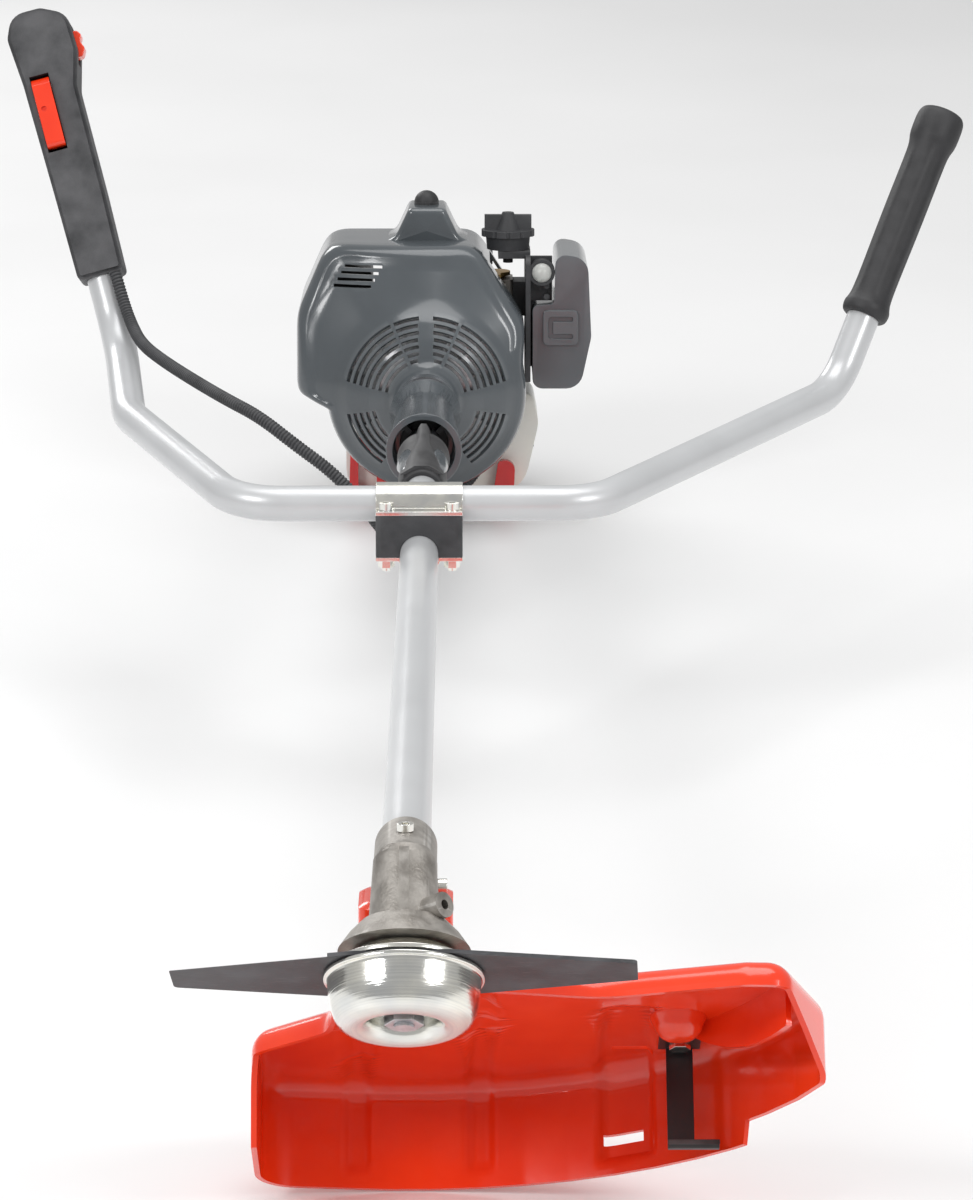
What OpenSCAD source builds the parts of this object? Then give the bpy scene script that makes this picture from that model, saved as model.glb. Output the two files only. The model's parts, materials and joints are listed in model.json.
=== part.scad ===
// Petrol brush cutter with a two-tooth blade, bike handlebar and rear engine.
// Tube frame: Y runs along the drive tube from the gear head to the engine, Z up, X to the right.
// Head frame: Z is the blade's axis, tipped from the tube frame by the head angle.

/* [Stance] */
// Angle between the blade's axis and the upright on the tube, degrees
head_tip = 37; // [35:1:39]
// Slope of the tube when the machine stands on its guard and its foot, degrees
tube_slope = 4.6; // [4.5:0.1:4.8]

/* [Blade] */
// Tip-to-tip length of the blade
blade_len = 230; // [220:2:236]
// Width of the blade at its middle
blade_w = 62; // [58:1:64]
// Width of the blade at its tips
tip_w = 27; // [22:1:34]
// Thickness of the blade
blade_t = 2; // [1.6:0.2:2]
// Centre hole of the blade
blade_bore = 25.4; // [25.4, 20]
// Turn of the blade on its axis at rest, degrees
blade_turn = -3; // [-8:1:8]

/* [Tube] */
// Outside diameter of the drive tube
tube_d = 25.4; // [25.4:0.1:25.6]
// Wall of the drive tube
tube_wall = 1.5; // [1.2:0.1:1.6]
// Diameter of the drive shaft
shaft_d = 7; // [6.5:0.5:7]

/* [Handlebar] */
// Where the handlebar crosses the tube, from the gear centre
bar_y = 822; // [815:1:830]
// Height of the handlebar's axis over the tube's axis
bar_z = 29.5; // [29:0.5:30]
// Diameter of the handlebar tube
bar_d = 24; // [22:1:24]

/* [Guard] */
// Radius of the guard's rear wall about the blade's axis
guard_r = 242; // [240:1:244]
// Height of the guard's lower edge under the gear centre
guard_low = -85; // [-88:1:-84]
// Wall of the guard
guard_wall = 3; // [2.5:0.5:3]

/* [Engine] */
// Outside radius of the round fan cowl
cowl_r = 80; // [78:1:80]
// Bore of the cylinder
bore_d = 40; // [38:1:40]
// Stroke of the piston
stroke = 30; // [28:1:32]

/* [Hidden] */
$fn = 64;
fit = 0.05;            // radial clearance of a shaft in its hole
gap = 0.3;             // clearance between covers

// ---- colours ----
c_orange = [0.93, 0.20, 0.07];
c_red = [0.80, 0.06, 0.10];
c_black = [0.09, 0.09, 0.10];
c_grey = [0.33, 0.35, 0.37];
c_zinc = [0.78, 0.80, 0.80];
c_cast = [0.52, 0.49, 0.45];
c_alu = [0.86, 0.87, 0.88];
c_steel = [0.62, 0.62, 0.64];
c_brass = [0.75, 0.62, 0.35];
c_white = [0.93, 0.94, 0.93];

// ---- stance, worked out ----
guard_rear = [guard_r * cos(head_tip) + guard_low * sin(head_tip),
              -guard_r * sin(head_tip) + guard_low * cos(head_tip)];
foot_y = 1526;
ground = guard_rear.x * sin(tube_slope) - guard_rear.y * cos(tube_slope);
foot_z = (-ground + foot_y * sin(tube_slope)) / cos(tube_slope);
origin_y = foot_y * cos(tube_slope) + foot_z * sin(tube_slope);

module stand() translate([0, -origin_y, ground]) rotate([-tube_slope, 0, 0]) children();
module head() stand() rotate([-head_tip, 0, 0]) children();

// ---- helpers ----
// round bar along Y
module cyl_y(y0, y1, d, d2 = -1)
    translate([0, y0, 0]) rotate([-90, 0, 0])
        cylinder(h = y1 - y0, d1 = d, d2 = d2 < 0 ? d : d2);
// ring along Y
module ring_y(y0, y1, od, id) difference() {
    cyl_y(y0, y1, od);
    cyl_y(y0 - 1, y1 + 1, id);
}
// round bar along X
module cyl_x(x0, x1, d)
    translate([x0, 0, 0]) rotate([0, 90, 0]) cylinder(h = x1 - x0, d = d);
// upright round bar and ring
module cyl_z(z0, z1, d, d2 = -1)
    translate([0, 0, z0]) cylinder(h = z1 - z0, d1 = d, d2 = d2 < 0 ? d : d2);
module ring_z(z0, z1, od, id) difference() {
    cyl_z(z0, z1, od);
    cyl_z(z0 - 1, z1 + 1, id);
}
// box given by its lowest and highest corners
module box(a, b) translate(a) cube(b - a);

// polygon with rounded corners: each corner is [x, y, radius]
function unit(v) = v / norm(v);
function corner_arc(p, a, b, r, n) =
    let (u = unit([a.x - p.x, a.y - p.y]), v = unit([b.x - p.x, b.y - p.y]),
         half = acos(u * v) / 2, m = unit(u + v), c = [p.x, p.y] + m * r / sin(half),
         s = [p.x, p.y] + u * r / tan(half) - c, e = [p.x, p.y] + v * r / tan(half) - c,
         a0 = atan2(s.y, s.x), turn = atan2(s.x * e.y - s.y * e.x, s * e))
    [for (i = [0 : n]) c + r * [cos(a0 + turn * i / n), sin(a0 + turn * i / n)]];
function rounded(pts, n = 5) = [
    for (i = [0 : len(pts) - 1])
        each pts[i][2] <= 0 ? [[pts[i].x, pts[i].y]]
            : corner_arc(pts[i], pts[(i + len(pts) - 1) % len(pts)],
                         pts[(i + 1) % len(pts)], pts[i][2], n)];
// the same corners moved in by t on every side (corners run anticlockwise)
function inward(a, b) = let (d = unit([b.x - a.x, b.y - a.y])) [-d.y, d.x];
function inset_corner(a, p, b, t) =
    let (n1 = inward(a, p), n2 = inward(p, b), k = 1 + n1 * n2)
    [p.x + t * (n1.x + n2.x) / k, p.y + t * (n1.y + n2.y) / k, max(p[2] - t, 0)];
function inset(pts, t) = [
    for (i = [0 : len(pts) - 1])
        inset_corner(pts[(i + len(pts) - 1) % len(pts)], pts[i], pts[(i + 1) % len(pts)], t)];
// slab of a rounded outline, upright or facing along Y
module slab_z(pts, z0, z1) translate([0, 0, z0]) linear_extrude(z1 - z0) polygon(rounded(pts));
module slab_y(pts, y0, y1)
    translate([0, y1, 0]) rotate([90, 0, 0]) linear_extrude(y1 - y0) polygon(rounded(pts));

// turn the Z axis onto direction v
module aim(v) rotate([0, acos(v.z / norm(v)), atan2(v.y, v.x)]) children();
// route with every inner corner turned into an arc of radius r
function turn_arc(a, p, b, r, n = 7) =
    let (u = unit(a - p), v = unit(b - p), half = acos(u * v) / 2, m = unit(u + v),
         c = p + m * r / sin(half), s = unit(p + u * r / tan(half) - c), w = 180 - 2 * half,
         e = unit(p + v * r / tan(half) - c), q = unit(e - s * (s * e)))
    [for (i = [0 : n]) c + r * (s * cos(w * i / n) + q * sin(w * i / n))];
function bent(pts, radii) = concat([pts[0]],
    [for (i = [1 : len(pts) - 2]) each turn_arc(pts[i - 1], pts[i], pts[i + 1], radii[i - 1])],
    [pts[len(pts) - 1]]);
// round cord or tube swept along a route; `aside` is never in line with the route
function heading(p, i) = unit(p[min(i + 1, len(p) - 1)] - p[max(i - 1, 0)]);
module swept(p, d, n, aside) {
    rings = [for (i = [0 : len(p) - 1])
        let (t = heading(p, i), a = unit(cross(t, aside)), b = cross(t, a))
        for (k = [0 : n - 1]) p[i] + d / 2 * (a * cos(360 * k / n) + b * sin(360 * k / n))];
    last = n * (len(p) - 1);
    polyhedron(rings, concat(
        [[for (k = [0 : n - 1]) k]],
        [for (i = [0 : len(p) - 2], k = [0 : n - 1])
            [n * i + k, n * (i + 1) + k, n * (i + 1) + (k + 1) % n, n * i + (k + 1) % n]],
        [[for (k = [n - 1 : -1 : 0]) last + k]]), convexity = 6);
}

// ---- cutting head (head frame, Z along the blade's axis) ----
blade_top = -48.5;
blade_low = blade_top - blade_t;
cup_low = -77;
module cap_screw(h, d, head_d, head_h) {
    cyl_z(-h, 0, d);
    difference() {
        cyl_z(0, head_h, head_d);
        cyl_z(head_h * 0.45, head_h + 1, head_d * 0.5, head_d * 0.5, $fn = 6);
    }
}

module blade() head() color(c_black) rotate([0, 0, blade_turn]) {
    half = blade_len / 2;
    hub = 24;
    difference() {
        linear_extrude_at(blade_low, blade_t) polygon(rounded([
            [half, -tip_w / 2 + 3, 3], [half, tip_w / 2, 2], [hub, blade_w / 2, 18],
            [-hub, blade_w / 2, 18], [-half, tip_w / 2 - 3, 3], [-half, -tip_w / 2, 2],
            [-hub, -blade_w / 2, 18], [hub, -blade_w / 2, 18]]));
        cyl_z(blade_low - 1, blade_top + 1, blade_bore);
        // ground cutting edges, one along each tooth
        for (s = [0, 180]) rotate([0, 0, s]) translate([hub, blade_w / 2, 0])
            rotate([0, 0, atan2(tip_w / 2 - blade_w / 2, half - hub)]) rotate([90, 0, 90])
                translate([0, 0, 12]) linear_extrude(half) polygon([
                    [-9.5, blade_top + 2], [4, blade_low - 2], [12, blade_low - 2],
                    [12, blade_top + 2]]);
    }
}
module linear_extrude_at(z0, h) translate([0, 0, z0]) linear_extrude(h) children();

module thrust_plate() head() color(c_zinc) difference() {
    union() {
        cyl_z(blade_top, blade_top + 2.5, 71);
        cyl_z(blade_top + 2.5, -39.5, 64, 50);
        cyl_z(blade_top - 1.4, blade_top, blade_bore - 0.1);
        cyl_z(-39.5, -31, 26);
    }
    cyl_z(blade_top - 2, -30, 10 + 2 * fit);
}

module rider_cup() head() color(c_zinc) translate([0, 0, cup_low]) rotate_extrude() {
    polygon([[5.2, 14], [18, 14], [18.6, 4], [22, 0], [27, 0], [32.5, 3], [35.5, 10],
             [36.3, 22], [37, 25.6], [40, 25.9], [40, 23.6], [38.4, 23.4], [37.9, 21],
             [37, 10], [33.7, 1.8], [28, -1.6], [21, -1.6], [17, 3.2], [16.4, 12.4], [5.2, 12.4]]);
}

module nut_and_washer() head() color(c_steel) difference() {
    union() {
        cyl_z(cup_low + 14.02, blade_low, 34, 38);
        cyl_z(cup_low + 9.9, cup_low + 12.38, 22);
        cyl_z(cup_low + 0.5, cup_low + 9.9, 19.6, $fn = 6);
    }
    cyl_z(cup_low - 1, blade_low + 1, 10 + 2 * fit);
}

module output_shaft() head() color(c_steel) {
    cyl_z(-29.5, -8.5, 12);
    cyl_z(-31 + fit, -29.5, 10, 12);
    cyl_z(cup_low - 1, -20, 10);
    cyl_z(-8.5, 0.5, 9);
}

// ---- bevel pair: 19-tooth crown wheel, 14-tooth pinion, shafts 127 degrees apart ----
gear_z = 19;
pinion_z = 14;
tooth_pitch_r = 0.6;                            // pitch radius per tooth
shaft_angle = 90 + head_tip;
pinion_cone = atan2(sin(shaft_angle), gear_z / pinion_z + cos(shaft_angle));
gear_cone = shaft_angle - pinion_cone;
cone_len = tooth_pitch_r * pinion_z / sin(pinion_cone);
tooth_face = 4;
tooth_t = 0.9;
tooth_up = 0.6;
tooth_down = 0.8;
// teeth along the pitch cone of half angle `cone`, apex at the origin, opening along +Z
module teeth(count, cone, first) for (i = [0 : count - 1])
    rotate([0, 0, first + 360 * i / count]) rotate([0, cone, 0])
        translate([0, 0, cone_len - tooth_face]) linear_extrude(tooth_face)
            polygon([[tooth_up, -tooth_t * 0.32], [tooth_up, tooth_t * 0.32],
                     [-tooth_down - 0.5, tooth_t * 0.62], [-tooth_down - 0.5, -tooth_t * 0.62]]);
// cone under the teeth, cut square front and back
module root_cone(cone) {
    inner = cone_len - tooth_face;
    r0 = inner * sin(cone) - tooth_down * cos(cone);
    r1 = cone_len * sin(cone) - tooth_down * cos(cone);
    z0 = inner * cos(cone) + tooth_down * sin(cone);
    z1 = cone_len * cos(cone) + tooth_down * sin(cone);
    translate([0, 0, z0]) cylinder(h = z1 - z0, r1 = r0, r2 = r1);
}

module crown_gear() head() color(c_steel) difference() {
    back = cone_len * cos(gear_cone) + tooth_down * sin(gear_cone);
    rotate([180, 0, 0]) union() {
        teeth(gear_z, gear_cone, 90);
        root_cone(gear_cone);
        cyl_z(back, 8.5, 2 * (cone_len * sin(gear_cone) - tooth_down * cos(gear_cone)));
    }
    cyl_z(-20, 20, 9 + 2 * fit);
}

module pinion_gear() stand() color(c_steel) difference() {
    rotate([-90, 0, 0]) union() {
        teeth(pinion_z, pinion_cone, 90);
        root_cone(pinion_cone);
        back = cone_len * cos(pinion_cone) + tooth_down * sin(pinion_cone);
        cyl_z(back, back + 3, 2 * (cone_len * sin(pinion_cone) - tooth_down * cos(pinion_cone)));
        cyl_z(back + 3, 30, 10);
    }
    cyl_y(18, 31, shaft_d + 2 * fit);
}

module head_bearings() {
    stand() color(c_steel) ring_y(15, 23, 22, 10 + 2 * fit);
    head() color(c_steel) {
        ring_z(-16.8, -9, 28, 12 + 2 * fit);
        ring_z(-27, -19.2, 28, 12 + 2 * fit);
    }
}

// boss and blind hole of the pin that locks the blade's shaft
module lock_boss(r0, r1, d) translate([0, 0, -20]) rotate([0, 0, -42]) cyl_x(r0, r1, d);
module gear_head_case() color(c_cast) difference() {
    union() {
        head() {
            cyl_z(-26, 10, 36, 31.5);
            cyl_z(10, 15, 31.5, 26);
            cyl_z(-30.5, -24, 56, 44);
            cyl_z(-38, -30.5, 66, 56);
            lock_boss(14, 27, 13);
            translate([-2.5, -20.5, -26]) cube([5, 8, 36]);
        }
        stand() {
            cyl_y(8, 62, 32);
            slab_y([[-16, -24, 3], [16, -24, 3], [16, -6, 3], [-16, -6, 3]], 32, 62);
        }
    }
    head() {
        cyl_z(0.5, 6, 27, 12);
        cyl_z(-9, 0.5, 27);
        cyl_z(-27.2, -9, 28 + 2 * fit);
        cyl_z(-40, -27.2, 29);
        lock_boss(16, 28, 5);
    }
    stand() {
        cyl_y(3, 15, 19.5);
        cyl_y(15, 25, 22 + 2 * fit);
        cyl_y(25, 28, 20);
        cyl_y(28, 71, tube_d + 2 * fit);
        translate([-1, 40, -30]) cube([2, 40, 26]);
        translate([0, 54, -19]) cyl_x(-30, 30, 5.2);
        for (x = guard_screw_x) translate([x, guard_screw_y, 0]) cyl_z(-25, -14.5, 5.2);
        translate([0, 34, 0]) cyl_z(10, 20, 5.2);
    }
}

// ---- drive tube ----
tube_end = 1330;
bush_at = [150, 450, 750, 1050];
module drive_shaft() stand() color(c_steel) cyl_y(18.5, 1352, shaft_d);
module tube_bushes() stand() color(c_brass)
    for (y = bush_at) ring_y(y, y + 18, tube_d - 2 * tube_wall - 2 * fit, shaft_d + 2 * fit);
module drive_tube() stand() color(c_alu) ring_y(28.3, tube_end, tube_d, tube_d - 2 * tube_wall);

// ---- guard (head frame) ----
roof_top = -24;
roof_low = roof_top - guard_wall;
lip_low = roof_low - 13;
guard_left = -82;
guard_screw_x = [-10, 10];
guard_screw_y = 38.5;
// corner list, anticlockwise from the front left: the rear wall is an arc about the blade's axis
guard_corners = concat(
    [[guard_left, 148, 16], [-42, 114, 14], [-30, 50, 10], [24, 48, 20], [100, 62, 60], [171, 43, 20],
     [192, 44, 14], [216, 106, 14]],
    [for (a = [33 : 6 : 99]) [guard_r * cos(a), guard_r * sin(a), 0]],
    [[guard_left, 234, 24]]);
module guard_body() {
    inner = inset(guard_corners, guard_wall);
    difference() {
        slab_z(guard_corners, guard_low, roof_top);
        slab_z(inner, guard_low - 1, roof_low);
        // the front stays open below the lip, which deepens on a slope at both ends
        box([-90, 0, guard_low - 2], [178, 75, lip_low]);
        box([-90, 70, guard_low - 2], [-20, 150, lip_low]);
        for (c = [[-95, 30, [[149, lip_low], [172, guard_low - 2], [149, guard_low - 2]]],
                  [178, 60, [[0, lip_low], [50, lip_low], [75, -52], [108, -70], [200, -74],
                             [200, guard_low - 2], [0, guard_low - 2]]]])
            translate([c[0], 0, 0]) rotate([90, 0, 90]) linear_extrude(c[1]) polygon(c[2]);
    }
}
module guard() color(c_orange) difference() {
    union() {
        head() {
            guard_body();
            // two raised flutes across the roof and down the rear wall
            for (x = [-28, 38]) translate([x, 0, roof_top]) box([-8, 84, -0.5], [8, 226, 3]);
            // boss and curved rib beside the line knife
            translate([141, 132, 0]) cyl_z(roof_low - 10, roof_low + 0.5, 24);
            intersection() {
                difference() {
                    cyl_z(-60, roof_low + 0.5, 2 * 208);
                    cyl_z(-61, roof_low + 1, 2 * 205);
                }
                box([150, 62, -60], [200, 150, roof_low + 0.5]);
            }
        }
        // hollow neck up to the pad under the gear head
        intersection() {
            stand() difference() {
                box([-21, 30, -110], [21, 64, -24.1]);
                box([-17, 33, -110], [17, 61, -28]);
            }
            head() box([-40, 20, roof_top - 0.5], [40, 200, 200]);
        }
    }
    stand() for (x = guard_screw_x) translate([x, guard_screw_y, 0]) cyl_z(-40, -20, 5.4);
    head() {
        // slots by the knife
        box([108, 185, roof_low - 1], [130, 190, roof_top + 1]);
        box([104, 200, -68], [125, 250, -62]);
        translate([143, 160, 0]) cyl_z(roof_low - 5, roof_top + 5, 6.2);
    }
}

module guard_plate() stand() color(c_steel) difference() {
    box([-15, 33.5, -30], [15, 43.5, -28.02]);
    for (x = guard_screw_x) translate([x, guard_screw_y, 0]) cyl_z(-40, -20, 5.4);
}

knife_y = 172;
module line_knife() head() color(c_black) difference() {
    union() {
        box([132, knife_y - 24, roof_low - 2.5], [154, knife_y, roof_low]);
        box([136, knife_y - 3, guard_low], [150, knife_y, roof_low - 2.5]);
        box([136, knife_y - 9, guard_low], [163, knife_y, guard_low + 3]);
    }
    translate([143, 160, 0]) cyl_z(roof_low - 4, roof_low + 1, 6.2);
    // ground edge along the toe
    translate([136, knife_y - 9, guard_low]) rotate([45, 0, 0]) translate([-1, -4, -4])
        cube([40, 8, 4]);
}

module head_screws() {
    stand() color(c_zinc) {
        translate([16, 54, -19]) rotate([0, 90, 0]) cap_screw(30, 5, 8.5, 5);
        translate([0, 34, 16.1]) cap_screw(3.1, 5, 8.5, 4);
        for (x = guard_screw_x) translate([x, guard_screw_y, -30]) rotate([180, 0, 0]) cap_screw(15, 5, 8.5, 4);
    }
    head() color(c_steel) translate([143, 160, 0]) {
        cyl_z(roof_low - 7, roof_low - 2.5, 11.5, 11.5, $fn = 6);
        cyl_z(roof_low - 2.5, roof_top, 6);
        cyl_z(roof_top, roof_top + 3, 12);
    }
}

// ---- handlebar and its clamp (tube frame) ----
clamp_bolt_x = 22;
clamp_bolt_y = 20.5;
clamp_l = 27;                                    // half length along the tube
clamp_w = 29;                                    // half width
split_z = 26;
module clamp_holes(z0, z1, d) for (x = [-1, 1], y = [-1, 1])
    translate([x * clamp_bolt_x, bar_y + y * clamp_bolt_y, 0]) cyl_z(z0, z1, d);

module clamp_base() stand() color(c_black) difference() {
    slab_z([[-clamp_w, bar_y - clamp_l, 4], [clamp_w, bar_y - clamp_l, 4],
            [clamp_w, bar_y + clamp_l, 4], [-clamp_w, bar_y + clamp_l, 4]], -2, split_z);
    cyl_y(bar_y - 40, bar_y + 40, tube_d + 2 * fit);
    translate([0, bar_y, bar_z]) cyl_x(-60, 60, bar_d + 2 * fit);
    clamp_holes(-10, 40, 6.3);
}

module clamp_cap() stand() color(c_zinc) difference() {
    union() {
        box([-clamp_w, bar_y - clamp_l, split_z + 0.2], [clamp_w, bar_y + clamp_l, split_z + 3]);
        intersection() {
            translate([0, bar_y, bar_z]) cyl_x(-clamp_w, clamp_w, bar_d + 5);
            box([-clamp_w, bar_y - 20, split_z + 0.2], [clamp_w, bar_y + 20, 60]);
        }
    }
    translate([0, bar_y, bar_z]) cyl_x(-60, 60, bar_d + 2 * fit);
    clamp_holes(0, 60, 6.3);
}

module clamp_strap() stand() color(c_zinc) difference() {
    union() {
        intersection() {
            cyl_y(bar_y - 20, bar_y + 20, tube_d + 5);
            box([-40, bar_y - 40, -40], [40, bar_y + 40, -2.2]);
        }
        difference() {
            box([-clamp_w, bar_y - clamp_l, -4.7], [clamp_w, bar_y + clamp_l, -2.2]);
            cyl_y(bar_y - 60, bar_y + 60, tube_d + 1);
        }
    }
    cyl_y(bar_y - 60, bar_y + 60, tube_d + 2 * fit);
    clamp_holes(-20, 20, 6.3);
}

module clamp_bolts() stand() color(c_zinc) for (x = [-1, 1], y = [-1, 1])
    translate([x * clamp_bolt_x, bar_y + y * clamp_bolt_y, split_z + 3]) {
        cap_screw(41, 6, 9.6, 5);
        difference() {
            cyl_z(-38.7, -33.7, 11, $fn = 6);
            cyl_z(-40, -33, 6);
        }
    }

// corners of the bar, from the clamp outwards, and its bend radii
bar_right = [[0, bar_y, bar_z], [118, bar_y, bar_z], [300, 1103, 57], [383, 1185, 248]];
bar_left = [[0, bar_y, bar_z], [-122, bar_y, bar_z], [-206, 990, 60], [-220, 1107, 92],
            [-283, 1183, 318]];
grip_dir = unit(bar_right[3] - bar_right[2]);
grip_low = bar_right[3] - grip_dir * 164;
handle_dir = unit(bar_left[4] - bar_left[3]);
handle_low = bar_left[4] - handle_dir * 196;
bar_wall = 2;
bar_route = concat(
    [bar_left[4] - handle_dir * 108], [for (i = [3 : -1 : 1]) bar_left[i]],
    [bar_right[1], bar_right[2], bar_right[3] - grip_dir * 4]);
bar_radii = [60, 60, 46, 46, 50];
function stretched(p, e) = let (n = len(p) - 1) [for (i = [0 : n])
    i == 0 ? p[0] - unit(p[1] - p[0]) * e : i == n ? p[n] + unit(p[n] - p[n - 1]) * e : p[i]];
module handlebar() stand() color(c_alu) difference() {
    swept(bent(bar_route, bar_radii), bar_d, 20, [0, 1, -1]);
    swept(bent(stretched(bar_route, 2), bar_radii), bar_d - 2 * bar_wall, 10, [0, 1, -1]);
    handle_frame() translate([0, 0, bar_screw_z]) rotate([-90, 0, 0]) cyl_z(-20, 20, 5.4);
}

module plain_grip() stand() color(c_black) translate(grip_low) aim(grip_dir) difference() {
    union() {
        cylinder(h = 6, d1 = 30, d2 = 35);
        translate([0, 0, 6]) cylinder(h = 4, d1 = 35, d2 = 33);
        translate([0, 0, 10]) cylinder(h = 12, d1 = 33, d2 = 30);
        translate([0, 0, 22]) cylinder(h = 114, d1 = 30, d2 = 31);
        translate([0, 0, 136]) cylinder(h = 8, d1 = 31, d2 = 36);
        translate([0, 0, 144]) cylinder(h = 18, d = 36);
        translate([0, 0, 162]) cylinder(h = 6, d1 = 36, d2 = 28);
    }
    translate([0, 0, -1]) cylinder(h = 161.2, d = bar_d + 2 * fit);
}

// control handle: Z runs up the grip, X is towards the tube side, -Y faces forward
handle_lean = atan2(handle_dir.y, handle_dir.x);
bar_screw_z = 20;
handle_screw_at = [[8, 92.5], [5, 158], [-14, 178]];
pin_z = 146;
module handle_frame() translate(handle_low) aim(handle_dir) rotate([0, 0, -handle_lean]) children();
module in_handle() stand() handle_frame() children();
handle_outline = [[-17, 0, 4], [17, 0, 4], [18, 60, 20], [18, 140, 20], [25, 166, 14], [24, 194, 14],
                  [6, 203, 12], [-16, 203, 14], [-23, 186, 12], [-20, 150, 20], [-18, 60, 20]];
module handle_slab(y0, y1, t) translate([0, y1, 0]) rotate([90, 0, 0])
    linear_extrude(y1 - y0) polygon(rounded(inset(handle_outline, t)));
module handle_bores() {
    translate([0, 0, -1]) cyl_z(0, 89.3, bar_d + 2 * fit);
    box([-14.2, -24, 96], [0.2, 13, 154]);       // throttle trigger
    box([1.7, -9, 101], [14.3, 24, 154]);        // lockout lever
    box([16.5, -6.3, 157], [30, 6.3, 188]);      // stop switch
    for (p = handle_screw_at) translate([p.x, 0, p.y]) rotate([-90, 0, 0]) {
        cyl_z(-9, 20, 3.2);
        cyl_z(12, 20, 6.6);
    }
    translate([0, 0, bar_screw_z]) rotate([-90, 0, 0]) cyl_z(-15.5, 20, 5.4);
    for (y = [-10, 10]) translate([0, y, pin_z]) cyl_x(-16, 16, 4 + 2 * fit);
}
module control_handle_front() in_handle() color(c_black) difference() {
    union() {
        handle_slab(-14, -0.1, 0);
        handle_slab(-18, -14, 2.5);
    }
    handle_bores();
}
module control_handle_back() in_handle() color(c_black) difference() {
    union() {
        handle_slab(0.1, 14, 0);
        handle_slab(14, 18, 2.5);
    }
    handle_bores();
}
module handle_screws() in_handle() color(c_zinc) {
    for (p = handle_screw_at) translate([p.x, 12, p.y]) rotate([-90, 0, 0])
        cap_screw(20, 3, 6.2, 3);
    translate([0, 18.2, bar_screw_z]) rotate([-90, 0, 0]) cap_screw(33, 5, 9, 4);
    for (y = [-10, 10]) translate([0, y, pin_z]) cyl_x(-15.9, 15.9, 4);
}
lever_outline = [[-21.5, 99, 4], [-8, 99, 3], [-7, 128, 4], [-6, 151, 4], [-16, 152, 5], [-21.5, 146, 4]];
module lever(x0, x1) rotate([90, 0, 90]) translate([0, 0, x0]) linear_extrude(x1 - x0)
    polygon(rounded(lever_outline));
module throttle_trigger() in_handle() color(c_orange) difference() {
    lever(-13.7, -0.3);
    translate([0, -10, pin_z]) cyl_x(-20, 5, 4 + 2 * fit);
    translate([-9, -22, 128]) rotate([-90, 0, 0]) cyl_z(-1, 2.5, 4);
}
module lockout_lever() in_handle() color(c_black) difference() {
    mirror([0, 1, 0]) intersection() {
        lever(2, 14);
        box([0, -40, 103], [20, 0, 160]);
    }
    translate([0, 10, pin_z]) cyl_x(-5, 20, 4 + 2 * fit);
}
module stop_switch() in_handle() color(c_orange) translate([0, 6, 0]) rotate([90, 0, 0])
    linear_extrude(12)
        polygon(rounded([[17, 162, 1], [27, 162, 3], [30, 168, 3], [27.5, 173, 3], [30, 178, 3],
                         [27, 182, 3], [17, 182, 1]]));

// ---- throttle cable in its corrugated conduit ----
conduit_d = 9;
conduit_route = [
    [-223.3, 1110, 145], [-217, 1102.5, 124], [-210, 1089, 108], [-201, 1062, 99], [-184, 1022, 94],
    [-160, 975, 88], [-134, 928, 82], [-110, 899, 75], [-85, 884, 58], [-60, 876, 41], [-40, 872, 20],
    [-25, 882, -2], [-14, 900, -18], [-4, 924, -22], [0, 990, -22],
    [0, 1080, -22], [0, 1135, -26], [0, 1165, -36], [0, 1205, -39], [0, 1250, -42],
    [2, 1320, -44], [4, 1370, -56], [10, 1410, -76], [16, 1445, -90], [26, 1466, -88],
    [44, 1476, -68], [54, 1477, -40], [58, 1478, -10], [58, 1480, 20], [58, 1487, 44],
    [58, 1490, 62], [58, 1490, 75.9]
];
// the route with its corners cut once
function cut_corners(p) = concat([p[0]],
    [for (i = [0 : len(p) - 2]) each [p[i] * 0.75 + p[i + 1] * 0.25, p[i] * 0.25 + p[i + 1] * 0.75]],
    [p[len(p) - 1]]);
module throttle_conduit() stand() color(c_black)
    swept(cut_corners(conduit_route), conduit_d, 8, [1, 0, 0.3]);

// ---- harness clamp with its carrying eye ----
eye_at = [0, 868, -26];
module harness_clamp() stand() color(c_steel) difference() {
    union() {
        ring_y(eye_at.y - 8, eye_at.y + 8, 33, tube_d + 2 * fit);
        translate([0, eye_at.y, eye_at.z]) cyl_x(-3, 3, 24);
        box([-3, eye_at.y - 8, -24], [3, eye_at.y + 8, -14]);
        box([14, eye_at.y - 8, -5], [24, eye_at.y + 8, 5]);
    }
    translate([0, eye_at.y, eye_at.z]) cyl_x(-10, 10, 13);
    box([12, eye_at.y - 9, -0.8], [30, eye_at.y + 9, 0.8]);
    translate([19, eye_at.y, 0]) cyl_z(-10, 10, 5.2);
}

// ---- collar and vibration damper ----
collar_y = 1175;
neck_d = 56;
module tube_collar() stand() color(c_grey) difference() {
    union() {
        cyl_y(collar_y, 1225, 57, 52);
        cyl_y(1225, 1300, 52, 46);
        cyl_y(1300, 1334, 46, neck_d);
    }
    cyl_y(collar_y - 1, 1207.2, 47, 44);
    cyl_y(1205, 1323, 36);
    cyl_y(1320, 1340, tube_d + 2 * fit);
    // arched mouth, cut back from the front
    translate([0, collar_y - 14, 0]) rotate([-28, 0, 0]) box([-40, -60, -50], [40, 0, 60]);
}
module av_rubber() stand() color(c_black) {
    ring_y(1207, 1318, 35.8, tube_d + 2 * fit);
    for (a = [45 : 90 : 315]) rotate([0, a, 0]) box([14, 1196, -2], [21, 1207, 2]);
}

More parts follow.
